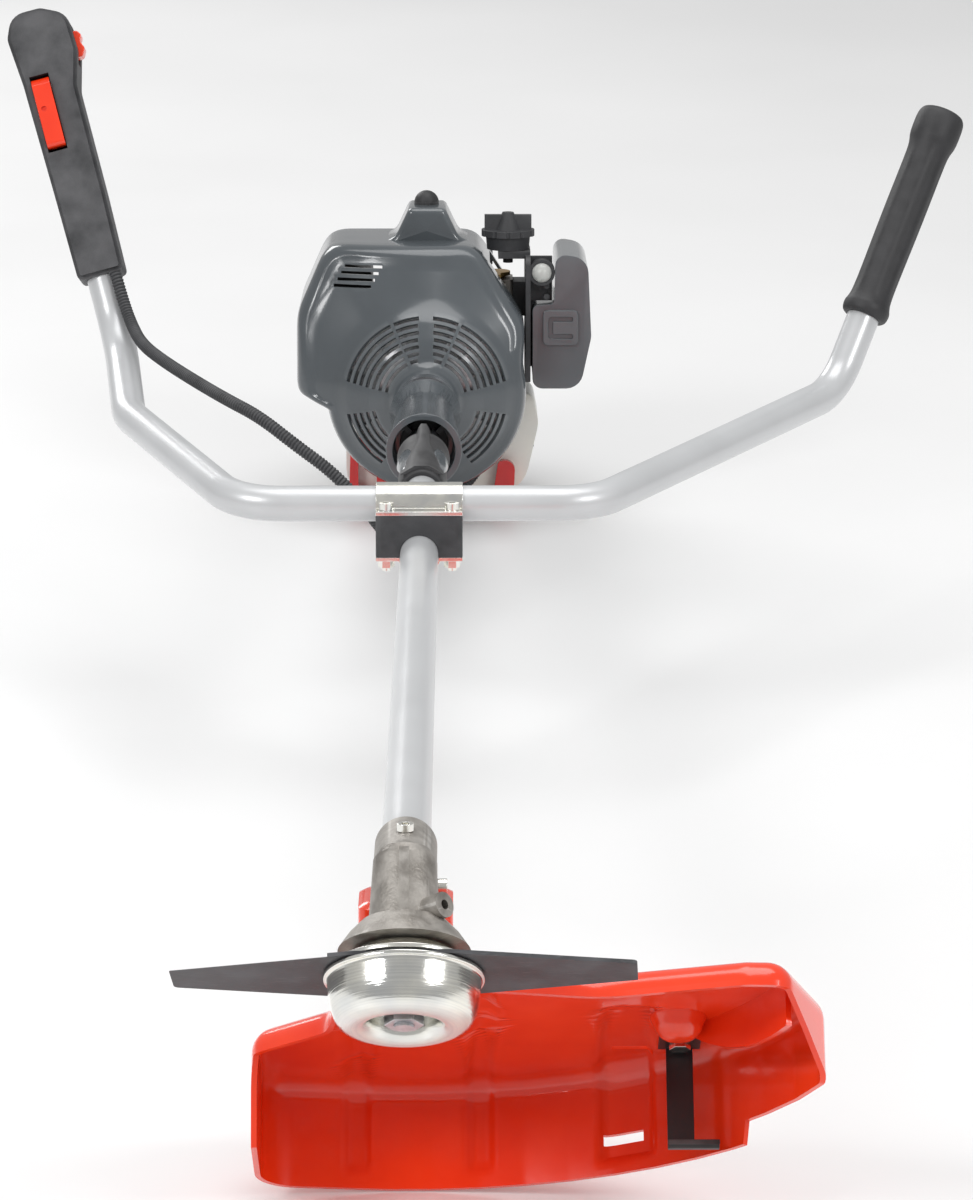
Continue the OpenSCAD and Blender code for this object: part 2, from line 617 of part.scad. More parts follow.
// ---- fan cowl ----
face_y0 = 1398;
face_y1 = 1440;
cowl_back = 1463;
module fan_cowl() stand() color(c_grey) difference() {
    rotate([-90, 0, 0]) rotate_extrude($fn = 96) polygon([
        [15, 1334.2], [neck_d / 2, 1334.2], [neck_d / 2, face_y0 - 8], [30, face_y0],
        [45, face_y0 + 4], [62, face_y0 + 16], [73, face_y0 + 30], [78.5, face_y1 + 8],
        [cowl_r, cowl_back], [cowl_r - 3, cowl_back], [75.5, face_y1 + 8], [70.5, face_y0 + 32],
        [60.5, face_y0 + 19], [44, face_y0 + 7], [32, face_y0 + 3.5], [25, face_y0 + 3.5],
        [25, 1362], [15, 1362], [15, 1353], [14.05, 1353], [14.05, 1344], [12, 1344], [12, 1342],
        [15, 1342]]);
    // rings of air slots, parted by ribs
    difference() {
        for (r = [31 : 5.2 : 63]) ring_y(face_y0 - 5, 1436, 2 * r + 5.6, 2 * r);
        for (a = [0, 116, 244]) rotate([0, a, 0])
            box([a == 0 ? -2.5 : -9, face_y0 - 6, 20], [a == 0 ? 2.5 : 9, 1440, 90]);
        for (a = [38, -38, 78, -78, 152, -152]) rotate([0, a, 0])
            box([-1.6, face_y0 - 6, 20], [1.6, 1440, 90]);
        box([-60, face_y0 - 6, -90], [60, 1440, -62]);
    }
}

// ---- engine (tube frame, crankshaft along Y) ----
cyl_at = [0, 1514];                              // axis of the cylinder
module engine_bearings() stand() color(c_steel) {
    ring_y(1344.05, 1352.95, 28, 12 + 2 * fit);
    ring_y(1484, 1493.5, 35, 14 + 2 * fit);
    ring_y(1534, 1543.5, 35, 14 + 2 * fit);
}
module clutch_drum() stand() color(c_steel) difference() {
    union() {
        cyl_y(1338, 1356, 12);
        cyl_y(1356, 1412, 18);
        cyl_y(1411, 1414, 76);
        ring_y(1414, 1432, 76, 71);
    }
    cyl_y(1337, 1353, shaft_d + 2 * fit);
}
module clutch_shoes() stand() color(c_steel) {
    difference() {
        ring_y(1417, 1430, 70, 34);
        box([-3, 1400, -60], [3, 1440, 60]);
        for (z = [-26, 26]) translate([0, 1423.5, z]) cyl_x(-30, 30, 6);
    }
    for (z = [-26, 26]) translate([0, 1423.5, z]) cyl_x(-18, 18, 5);
    difference() {
        cyl_y(1417, 1433, 33.8);
        cyl_y(1410, 1440, 14 + 2 * fit);
    }
}
module flywheel_fan() stand() color(c_alu) difference() {
    union() {
        cyl_y(1434, 1472, 34);
        cyl_y(1449, 1456, 132);
        for (a = [0 : 24 : 336]) rotate([0, a, 0]) translate([0, 1438, 15])
            box([-1.2, 0, 0], [1.2, 12, 49]);
    }
    cyl_y(1430, 1480, 14 + 2 * fit);
}
module crankshaft() stand() color(c_steel) {
    cyl_y(1417.5, 1494.5, 14);
    cyl_y(1494.5, 1504, 56);
    translate([0, 0, -stroke / 2]) cyl_y(1504, 1507.6, 10);
    cyl_y(1524, 1533.5, 56);
    translate([0, 0, -stroke / 2]) cyl_y(1520.4, 1524, 10);
    cyl_y(1533.5, 1569, 14);
}
module crankcase() stand() color(c_cast) difference() {
    union() {
        slab_y([[-37, -37, 14], [37, -37, 14], [37, 30, 4], [-37, 30, 4]], 1480, 1548);
        // starter mounting flange
        for (x = [-31, 31], z = [-27, 20]) translate([x, 0, z]) cyl_y(1548, 1556, 9);
    }
    cyl_y(1494, 1534, 62);
    cyl_y(1483, 1494, 35 + 2 * fit);
    cyl_y(1533, 1544, 35 + 2 * fit);
    cyl_y(1470, 1560, 22);
    translate([0, cyl_at.y, 0]) cyl_z(20, 40, bore_d);
}
module engine_cylinder() stand() color(c_alu) translate([cyl_at.x, cyl_at.y, 0]) difference() {
    union() {
        cyl_z(30, 106, 54);
        slab_z([[-32, -32, 3], [32, -32, 3], [32, 32, 3], [-32, 32, 3]], 30, 36);
        for (z = [42 : 7.5 : 105]) slab_z([[-36, -33, 8], [36, -33, 8], [36, 33, 8], [-36, 33, 8]],
            z, z + 2);
        translate([0, 0, 66]) cyl_x(20, 41.8, 26);
        translate([0, 0, 62]) cyl_x(-43.8, -20, 30);
    }
    cyl_z(29, 100, bore_d);
    cyl_z(99, 110, 12 + 2 * fit);
    translate([0, 0, 66]) cyl_x(10, 45, 14);
    translate([0, 0, 62]) cyl_x(-45, -10, 18);
}
piston_low = 42;
module piston() stand() color(c_alu) translate([cyl_at.x, cyl_at.y, piston_low]) difference() {
    cyl_z(0, 26, bore_d - 2 * fit);
    cyl_z(-1, 21, bore_d - 7);
    rotate([-90, 0, 0]) translate([0, -10, -30]) cylinder(h = 60, d = 8 + 2 * fit);
    for (z = [20, 23]) ring_z(z, z + 1, bore_d + 2, bore_d - 3);
}
module connecting_rod() stand() color(c_steel) difference() {
    pin = piston_low + 10;
    union() {
        translate([0, 0, -stroke / 2]) cyl_y(1508.2, 1519.8, 18);
        translate([0, 0, pin]) cyl_y(1508.2, 1519.8, 14);
        box([-4, 1510, -stroke / 2], [4, 1518, pin]);
        translate([0, 0, pin]) cyl_y(cyl_at.y - 19, cyl_at.y + 19, 8);
    }
    translate([0, 0, -stroke / 2]) cyl_y(1500, 1530, 10 + 2 * fit);
}
module ignition_coil() stand() color(c_black) {
    difference() {
        slab_y([[-74, 40, 4], [-46, 40, 4], [-46, 74, 4], [-74, 74, 4]], 1464.5, 1479);
        translate([-60, 0, 57]) cyl_y(1450, 1480, 5);
    }
}
module spark_plug() stand() color(c_white) translate([cyl_at.x, cyl_at.y, 0]) {
    cyl_z(99, 106.2, 12);
    cyl_z(106.2, 115, 18, 18, $fn = 6);
    cyl_z(115, 128, 9, 7);
}
module plug_boot() stand() color(c_black) translate([cyl_at.x, cyl_at.y, 0]) difference() {
    union() {
        cyl_z(120, 144, 20);
        intersection() {
            translate([0, 0, 143]) sphere(d = 20);
            cyl_z(143, 160, 30);
        }
        translate([0, 0, 132]) rotate([-90, 0, 0]) cyl_z(0, 40, 9);
    }
    cyl_z(110, 129, 9.4);
}

// cover over the cylinder and the muffler
shroud_outline = [[-104, -8, 16], [76, -8, 10], [79, 56, 18], [40, 116, 16], [-80, 116, 18],
                  [-104, 62, 22]];
shroud_y = [1447, 1556];
hump = [[-22, 108, 2], [22, 108, 2], [15, 142, 5], [-14, 142, 5]];
// the cover's form in steps: each slab is moved in by in[i] and starts from[i] behind the front
module shroud_form(in, from) for (i = [0 : 2])
    slab_y(inset(shroud_outline, in[i]), shroud_y[0] + from[i], shroud_y[1] + (in[2] > 9 ? 1 : 0));
module cylinder_shroud() stand() color(c_grey) difference() {
    union() {
        difference() {
            shroud_form([0, 3, 9], [10, 4, 0]);
            shroud_form([2.5, 5.5, 11], [12, 7, 3]);
        }
        difference() {
            slab_y(hump, 1488, 1540);
            slab_y(inset(hump, 2.5), 1490.5, 1537.5);
        }
    }
    box([-19, 1491, 104], [19, 1537, 117]);      // opens the hump below
    cyl_y(1400, cowl_back + 1, 2 * cowl_r + 2 * gap);  // clears the fan cowl
    box([-46, 1440, -20], [90, 1560, -5]);       // open over the crankcase and the tank
    translate([cyl_at.x, cyl_at.y, 0]) cyl_z(130, 150, 21);
    translate([cyl_at.x, cyl_at.y, 132]) rotate([-90, 0, 0]) cyl_z(0, 40, 10);
    box([40, 1480, 44], [90, 1548, 99]);         // carburettor window
    // slots beside the muffler and louvers on the front shoulder
    for (z = [8 : 10 : 58]) box([-110, 1470, z], [-98, 1534, z + 4.5]);
    for (i = [0 : 3]) translate([-74 + i * 3, 1440, 90 + i * 5.5]) rotate([0, -8, 0])
        cube([30, 12, 2.4]);
}
module muffler() stand() color(c_steel) difference() {
    union() {
        slab_y([[-94, 10, 12], [-44.1, 10, 8], [-44.1, 92, 8], [-78, 100, 12], [-94, 60, 12]], 1486,
               1544);
        translate([-72, 0, 34]) cyl_y(1540, 1560, 16);
    }
    slab_y([[-92, 12, 10], [-46, 12, 6], [-46, 90, 6], [-77, 98, 10], [-92, 60, 10]], 1488, 1542);
    translate([-72, 0, 34]) cyl_y(1541, 1561, 13);
    translate([0, cyl_at.y, 62]) cyl_x(-47, -40, 18);
}

// ---- carburettor and air filter ----
barrel_at = [56, 1514];
module carburetor() stand() color(c_cast) difference() {
    union() {
        slab_z([[42, 1498, 3], [70, 1498, 3], [70, 1530, 3], [42, 1530, 3]], 50, 82);
        translate([barrel_at.x, barrel_at.y, 0]) cyl_z(44, 50, 22);
        box([52, 1484, 76], [64, 1499, 80]);     // cable bracket
    }
    translate([0, barrel_at.y, 66]) cyl_x(40, 72, 14);
    translate([barrel_at.x, barrel_at.y, 0]) cyl_z(54, 90, 16 + 2 * fit);
    translate([58, 1490, 0]) cyl_z(70, 90, 5);
}
module throttle_barrel() stand() color(c_brass) translate([barrel_at.x, barrel_at.y, 0])
    difference() {
        union() {
            cyl_z(54.2, 84, 16);
            cyl_z(84, 87, 24);
            box([-4, -22, 84], [4, 0, 87]);
        }
        translate([0, 0, 66]) rotate([0, 0, 55]) cyl_x(-20, 20, 12);
    }
module filter_base() stand() color(c_black) difference() {
    union() {
        slab_x([[1466, 2, 6], [1560, 2, 10], [1560, 104, 10], [1466, 104, 6]], 80, 84);
        box([70.2, 1500, 52], [80, 1528, 80]);
        box([58, 1484, 101], [84, 1518, 107]);
        translate([93, 0, 92]) cyl_y(1466.5, 1480, 21);
        for (z = [72, 81]) translate([97, 0, z]) cyl_y(1470, 1482, 5);
        box([84, 1478, 68], [101.5, 1482, 104]);
    }
    translate([0, barrel_at.y, 66]) cyl_x(60, 90, 16);
    translate([93, 0, 92]) cyl_y(1460, 1471.5, 16.2);
    translate([93, 0, 92]) cyl_y(1460, 1476, 13);
    translate([66, 1500, 0]) cyl_z(90, 110, 8 + 2 * fit);
}
module slab_x(pts, x0, x1) translate([x0, 0, 0]) rotate([90, 0, 90]) linear_extrude(x1 - x0)
    polygon(rounded(pts));
module air_filter() stand() color("darkgray")
    slab_x([[1484, 12, 6], [1548, 12, 8], [1548, 61, 8], [1484, 61, 6]], 84.1, 112);
cover_outline = [[85.5, -2, 8], [124, -2, 14], [133, 40, 20], [130, 104, 14], [104, 108, 8],
                 [103, 67, 4], [85.5, 66, 5]];
module filter_cover() stand() color(c_grey) difference() {
    union() {
        difference() {
            slab_y(cover_outline, 1464, 1562);
            slab_y(inset(cover_outline, 2.5), 1467, 1559.5);
        }
        // sprung catch on the front
        slab_y([[94, 34, 4], [122, 34, 4], [122, 62, 4], [94, 62, 4]], 1461, 1464.2);
    }
    box([84.4, 1468, 4], [88.2, 1558, 62]);
    slab_y([[98, 39, 3], [118, 39, 1.5], [118, 43, 1.5], [102, 43, 1], [102, 53, 1], [118, 53, 1.5],
            [118, 57, 1.5], [98, 57, 3]], 1460, 1463);
}
module primer_bulb() stand() color(c_white) translate([93, 1468, 92]) rotate([90, 0, 0]) {
    rotate_extrude() polygon([[0, 7.6], [3.4, 7], [6, 5.2], [7.6, 2.6], [8, 0.1], [6.4, 0.1],
                              [6.4, -4], [0, -4]]);
}
module choke_knob() stand() color(c_black) translate([66, 1500, 0]) {
    difference() {
        union() {
            cyl_z(107.3, 118, 34, 36);
            cyl_z(118, 123, 43);
            translate([0, 0, 123]) rotate([90, 0, 90]) translate([0, 0, -19]) linear_extrude(38)
                polygon([[-5, 0], [5, 0], [3, 12], [-3, 12]]);
            cyl_z(123, 137, 22, 9);
        }
        for (a = [0 : 30 : 330]) rotate([0, 0, a]) translate([22.6, 0, 0]) cyl_z(117, 124, 4);
    }
    cyl_z(96, 107.3, 8);
}

// ---- starter ----
starter_y = 1556.4;
pulley_r = 28;
module starter_housing() stand() color(c_black) difference() {
    union() {
        cyl_y(starter_y, 1590, 124);
        cyl_y(1590, 1600, 124, 96);
        box([12, starter_y, 30], [44, 1590, 78]);
    }
    cyl_y(starter_y - 1, 1587, 116);
    cyl_y(1587, 1597, 60);
    translate([pulley_r, 1574, 0]) cyl_z(-60, 90, 6);
    for (a = [20 : 40 : 340]) rotate([0, a, 0]) box([-3, 1580, 36], [3, 1610, 45]);
    for (x = [-31, 31], z = [-27, 20]) translate([x, 0, z]) cyl_y(1540, 1570, 5);
}
module starter_pulley() stand() color(c_black) difference() {
    union() {
        cyl_y(1569.6, 1571, 2 * pulley_r - 2);
        cyl_y(1571, 1577, 2 * pulley_r - 10);
        cyl_y(1577, 1578.4, 2 * pulley_r - 2);
        cyl_y(1578.4, 1586, 16);
    }
    cyl_y(1560, 1590, 8);
}
module starter_grip() stand() color(c_black) translate([pulley_r, 1574, 0]) {
    cyl_z(-48, 84, 3.6);
    translate([0, 0, 90]) rotate([0, 90, 0]) translate([0, 0, -26]) {
        cylinder(h = 6, d1 = 12, d2 = 17);
        translate([0, 0, 6]) cylinder(h = 40, d = 17);
        translate([0, 0, 46]) cylinder(h = 6, d1 = 17, d2 = 12);
    }
    cyl_z(78.4, 90, 10);
}

// ---- fuel tank and foot ----
tank_outline = [[-66, -92, 20], [78, -92, 26], [91, -34, 24], [86, -9, 10], [46, -9, 8], [42, -41, 6],
                [-66, -41, 12]];
module fuel_tank() stand() color(c_white) difference() {
    union() {
        slab_y(tank_outline, 1486, 1550);
        translate([66, 0, -62]) cyl_y(1549, 1556, 40);
    }
    slab_y(inset(tank_outline, 2.5), 1488.5, 1547.5);
    translate([66, 0, -62]) cyl_y(1540, 1560, 30);
}
module fuel_cap() stand() color(c_black) translate([66, 0, -62]) {
    cyl_y(1556.3, 1570, 42);
    cyl_y(1550, 1556.3, 29.8);
    for (a = [0 : 20 : 340]) rotate([0, a, 0]) translate([0, 0, 21]) cyl_y(1557, 1569, 3);
}
module foot() color(c_red) {
    translate([2, 0, 0]) slab_z([[-66, -50, 6], [70, -50, 6], [66, 30, 12], [-64, 30, 12]], 0, 4);
    stand() difference() {
        union() {
            slab_y([[-64, foot_z - 1, 0], [-30, foot_z - 1, 0], [-34, -48, 8], [-62, -44, 10]], 1476,
                   1483);
            slab_y([[52, foot_z - 1, 0], [70, foot_z - 1, 0], [72, -62, 8], [58, -64, 4]], 1476, 1483);
        }
        slab_y([[-56, -86, 3], [-41, -86, 3], [-41, -56, 4], [-56, -54, 4]], 1470, 1490);
    }
}

blade();
thrust_plate();
rider_cup();
nut_and_washer();
output_shaft();
crown_gear();
gear_head_case();
head_bearings();
pinion_gear();
drive_shaft();
tube_bushes();
drive_tube();
guard();
guard_plate();
line_knife();
head_screws();
clamp_base();
clamp_cap();
clamp_strap();
clamp_bolts();
handlebar();
plain_grip();
control_handle_front();
control_handle_back();
handle_screws();
throttle_trigger();
lockout_lever();
stop_switch();
throttle_conduit();
harness_clamp();
tube_collar();
av_rubber();
fan_cowl();
engine_bearings();
clutch_drum();
clutch_shoes();
flywheel_fan();
crankshaft();
crankcase();
engine_cylinder();
piston();
connecting_rod();
ignition_coil();
spark_plug();
plug_boot();
cylinder_shroud();
muffler();
carburetor();
throttle_barrel();
filter_base();
air_filter();
filter_cover();
primer_bulb();
choke_knob();
starter_housing();
starter_pulley();
starter_grip();
fuel_tank();
fuel_cap();
foot();
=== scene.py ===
# Brush cutter on a pale floor: the looks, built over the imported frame.
import json
import math

import bmesh
import bpy
from mathutils import Matrix, Vector, geometry

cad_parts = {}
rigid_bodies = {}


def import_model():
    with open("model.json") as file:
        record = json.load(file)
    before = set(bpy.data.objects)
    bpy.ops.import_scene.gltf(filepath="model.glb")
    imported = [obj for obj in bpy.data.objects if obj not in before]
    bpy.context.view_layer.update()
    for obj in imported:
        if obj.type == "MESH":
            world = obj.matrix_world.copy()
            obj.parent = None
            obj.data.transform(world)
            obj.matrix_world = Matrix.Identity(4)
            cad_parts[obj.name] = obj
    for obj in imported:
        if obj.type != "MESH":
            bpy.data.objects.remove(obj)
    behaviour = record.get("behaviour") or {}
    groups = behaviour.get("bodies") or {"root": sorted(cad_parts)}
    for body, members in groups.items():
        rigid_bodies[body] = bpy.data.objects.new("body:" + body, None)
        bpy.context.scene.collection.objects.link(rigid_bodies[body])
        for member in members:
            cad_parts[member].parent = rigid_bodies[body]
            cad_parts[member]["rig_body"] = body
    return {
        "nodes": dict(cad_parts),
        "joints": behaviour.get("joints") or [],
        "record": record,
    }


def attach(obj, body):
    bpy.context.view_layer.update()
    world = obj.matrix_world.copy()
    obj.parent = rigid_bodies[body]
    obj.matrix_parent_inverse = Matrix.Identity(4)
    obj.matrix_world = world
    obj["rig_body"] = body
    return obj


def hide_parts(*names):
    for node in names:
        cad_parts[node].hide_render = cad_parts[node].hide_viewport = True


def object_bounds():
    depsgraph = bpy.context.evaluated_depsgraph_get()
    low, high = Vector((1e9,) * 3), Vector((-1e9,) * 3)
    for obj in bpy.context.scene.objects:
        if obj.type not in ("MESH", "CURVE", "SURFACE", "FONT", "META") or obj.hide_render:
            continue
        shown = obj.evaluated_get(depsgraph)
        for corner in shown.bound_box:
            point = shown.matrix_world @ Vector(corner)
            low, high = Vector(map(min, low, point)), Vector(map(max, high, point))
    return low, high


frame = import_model()
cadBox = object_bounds()
nodes = frame["nodes"]
joints = {j["name"]: j for j in frame["joints"]}
slotOf = {p["node"]: p["material_slot"] for p in frame["record"]["subparts"]}
scene = bpy.context.scene
print("frame loaded:", len(nodes), "nodes")

# the tube's axes and the cutting head's axes, both from the joints
side = Vector((1, 0, 0))
bladeAxis = Vector(joints["blade_spin"]["axis"]).normalized()
tubeAxis = Vector(joints["driveline_spin"]["axis"]).normalized()
bladeAt = Vector(joints["blade_spin"]["pos_m"])
tubeAt = Vector(joints["driveline_spin"]["pos_m"])
gearCentre = geometry.intersect_line_line(bladeAt, bladeAt + bladeAxis, tubeAt, tubeAt + tubeAxis)[0]


def axesAt(origin, x, y, z):
    return Matrix.Translation(origin) @ Matrix((x, y, z)).transposed().to_4x4() @ Matrix.Scale(0.001, 4)


tubeFrame = axesAt(gearCentre, side, tubeAxis, side.cross(tubeAxis))   # millimetres along the tube
headFrame = axesAt(gearCentre, side, bladeAxis.cross(side), bladeAxis)  # millimetres about the blade's axis

# camera, low in front of the blade and looking down the tube
cameraSet = {"at": (29.5, -2200, 622), "down": 16.9, "right": 0.3, "lens": 137.7}
cameraData = bpy.data.cameras.new("camera")
cameraData.lens = cameraSet["lens"]
cameraData.clip_end = 60
cameraEye = bpy.data.objects.new("camera", cameraData)
scene.collection.objects.link(cameraEye)
cameraEye.location = tubeFrame @ Vector(cameraSet["at"])
cameraEye.rotation_euler = (math.radians(90 - cameraSet["down"]), 0, math.radians(-cameraSet["right"]))
scene.camera = cameraEye
scene.view_settings.view_transform = "Standard"

# soft studio: a bright room and three large panels
lightSet = {
    "room": 0.46,
    "panels": [
        # place, aimed at, width, height, watts
        ((-2.3, -3.1, 2.3), (0, -0.7, 0.2), 1.3, 0.9, 52),
        ((2.4, -2.9, 2.1), (0, -0.7, 0.2), 1.2, 0.9, 38),
        ((0.2, -0.4, 3.4), (0, -0.6, 0), 2.6, 2.2, 54),
        ((-1.6, 2.6, 1.9), (0, 0, 0.2), 1.6, 1.2, 34),
    ],
}
world = bpy.data.worlds.new("room")
world.use_nodes = True
world.node_tree.nodes["Background"].inputs["Color"].default_value = (1, 1, 1, 1)
world.node_tree.nodes["Background"].inputs["Strength"].default_value = lightSet["room"]
scene.world = world
for i, (place, target, wide, high, watts) in enumerate(lightSet["panels"]):
    lamp = bpy.data.lights.new("panel%d" % i, "AREA")
    lamp.shape = "RECTANGLE"
    lamp.size, lamp.size_y, lamp.energy = wide, high, watts
    panel = bpy.data.objects.new("panel%d" % i, lamp)
    panel.location = place
    panel.rotation_euler = (Vector(target) - Vector(place)).to_track_quat("-Z", "Y").to_euler()
    scene.collection.objects.link(panel)
print("camera and lights set")


# materials
def addNode(tree, kind, settings=None, **sockets):
    made = tree.nodes.new(kind)
    for key, value in (settings or {}).items():
        setattr(made, key, value)
    for key, value in sockets.items():
        socket = made.inputs[int(key[1:])] if key[0] == "i" and key[1:].isdigit() else made.inputs[key]
        if isinstance(value, bpy.types.NodeSocket):
            tree.links.new(value, socket)
        else:
            socket.default_value = value
    return made


def blendColour(tree, factor, first, second, how="MIX"):
    mix = addNode(tree, "ShaderNodeMix", {"data_type": "RGBA", "blend_type": how}, i0=factor, i6=first, i7=second)
    return mix.outputs[2]


def ramp(tree, value, low, high, outLow=0.0, outHigh=1.0):
    return addNode(tree, "ShaderNodeMapRange", None, Value=value, **{
        "From Min": low, "From Max": high, "To Min": outLow, "To Max": outHigh}).outputs["Result"]


def rgba(colour, k=1.0):
    return tuple(min(1.0, c * k) for c in colour) + (1.0,)


def makeFinish(name, colour, rough, metal=0.0, mottle=0.1, mottleSize=0.03, roughSpread=0.06, grain=0.1,
               grainSize=0.0012, grainDepth=0.0003, dust=None, edge=None, edgeFrom=0.52, scratch=0.0,
               rings=0.0, coat=0.0, coatRough=0.05, through=0.0, ior=1.5, specular=0.5, second=None):
    made = bpy.data.materials.new(name)
    made.use_nodes = True
    tree = made.node_tree
    shader = tree.nodes["Principled BSDF"]
    place = addNode(tree, "ShaderNodeTexCoord").outputs["Object"]
    broad = addNode(tree, "ShaderNodeTexNoise", None, Vector=place, Scale=1 / mottleSize, Detail=5.0).outputs["Fac"]
    fine = addNode(tree, "ShaderNodeTexNoise", None, Vector=place, Scale=1 / grainSize, Detail=3.0).outputs["Fac"]
    broadWide = ramp(tree, broad, 0.3, 0.7)
    tone = blendColour(tree, broadWide, rgba(colour, 1 - mottle), rgba(second or colour, 1 + mottle))
    tone = blendColour(tree, ramp(tree, fine, 0.35, 0.75, 0, 0.5 * mottle), tone, rgba(colour, 0.6))
    height = fine
    if rings:  # turned or spun about the piece's own Z
        parts = addNode(tree, "ShaderNodeSeparateXYZ", None, Vector=place)
        flat = addNode(tree, "ShaderNodeCombineXYZ", None, X=parts.outputs["X"], Y=parts.outputs["Y"])
        far = addNode(tree, "ShaderNodeVectorMath", {"operation": "LENGTH"}, Vector=flat.outputs[0]).outputs["Value"]
        along = addNode(tree, "ShaderNodeMath", {"operation": "ADD"}, i0=far, i1=parts.outputs["Z"]).outputs[0]
        line = addNode(tree, "ShaderNodeTexNoise", {"noise_dimensions": "1D"}, W=along, Scale=rings,
                       Detail=4.0).outputs["Fac"]
        height = addNode(tree, "ShaderNodeMath", {"operation": "MULTIPLY_ADD"}, i0=line, i1=1.4, i2=fine).outputs[0]
        tone = blendColour(tree, ramp(tree, line, 0.4, 0.65, 0, 0.3), tone, rgba(colour, 0.72))
    if scratch:
        stretched = addNode(tree, "ShaderNodeMapping", None, Vector=place, Scale=(1, 1, 14), Rotation=(0.5, 0.3, 0.2))
        marks = addNode(tree, "ShaderNodeTexNoise", None, Vector=stretched.outputs[0], Scale=120.0,
                        Detail=2.0).outputs["Fac"]
        tone = blendColour(tree, ramp(tree, marks, 0.62, 0.7, 0, scratch), tone, rgba(edge or colour, 1.25))
    if edge:
        sharp = addNode(tree, "ShaderNodeNewGeometry").outputs["Pointiness"]
        worn = ramp(tree, sharp, edgeFrom, edgeFrom + 0.06)
        worn = addNode(tree, "ShaderNodeMath", {"operation": "MULTIPLY"}, i0=worn, i1=broadWide).outputs[0]
        tone = blendColour(tree, worn, tone, rgba(edge))
    if dust:
        up = addNode(tree, "ShaderNodeSeparateXYZ", None,
                     Vector=addNode(tree, "ShaderNodeNewGeometry").outputs["Normal"]).outputs["Z"]
        lying = addNode(tree, "ShaderNodeMath", {"operation": "MULTIPLY"}, i0=ramp(tree, up, 0.2, 1.0, 0, 0.22),
                        i1=broadWide).outputs[0]
        tone = blendColour(tree, lying, tone, rgba(dust))
    tree.links.new(tone, shader.inputs["Base Color"])
    shine = ramp(tree, broad, 0.3, 0.7, max(0.03, rough - roughSpread), min(1.0, rough + roughSpread))
    tree.links.new(shine, shader.inputs["Roughness"])
    bump = addNode(tree, "ShaderNodeBump", None, Height=height, Strength=grain, Distance=grainDepth)
    tree.links.new(bump.outputs[0], shader.inputs["Normal"])
    shader.inputs["Metallic"].default_value = metal
    shader.inputs["IOR"].default_value = ior
    shader.inputs["Specular IOR Level"].default_value = specular
    shader.inputs["Coat Weight"].default_value = coat
    shader.inputs["Coat Roughness"].default_value = coatRough
    shader.inputs["Transmission Weight"].default_value = through
    return made


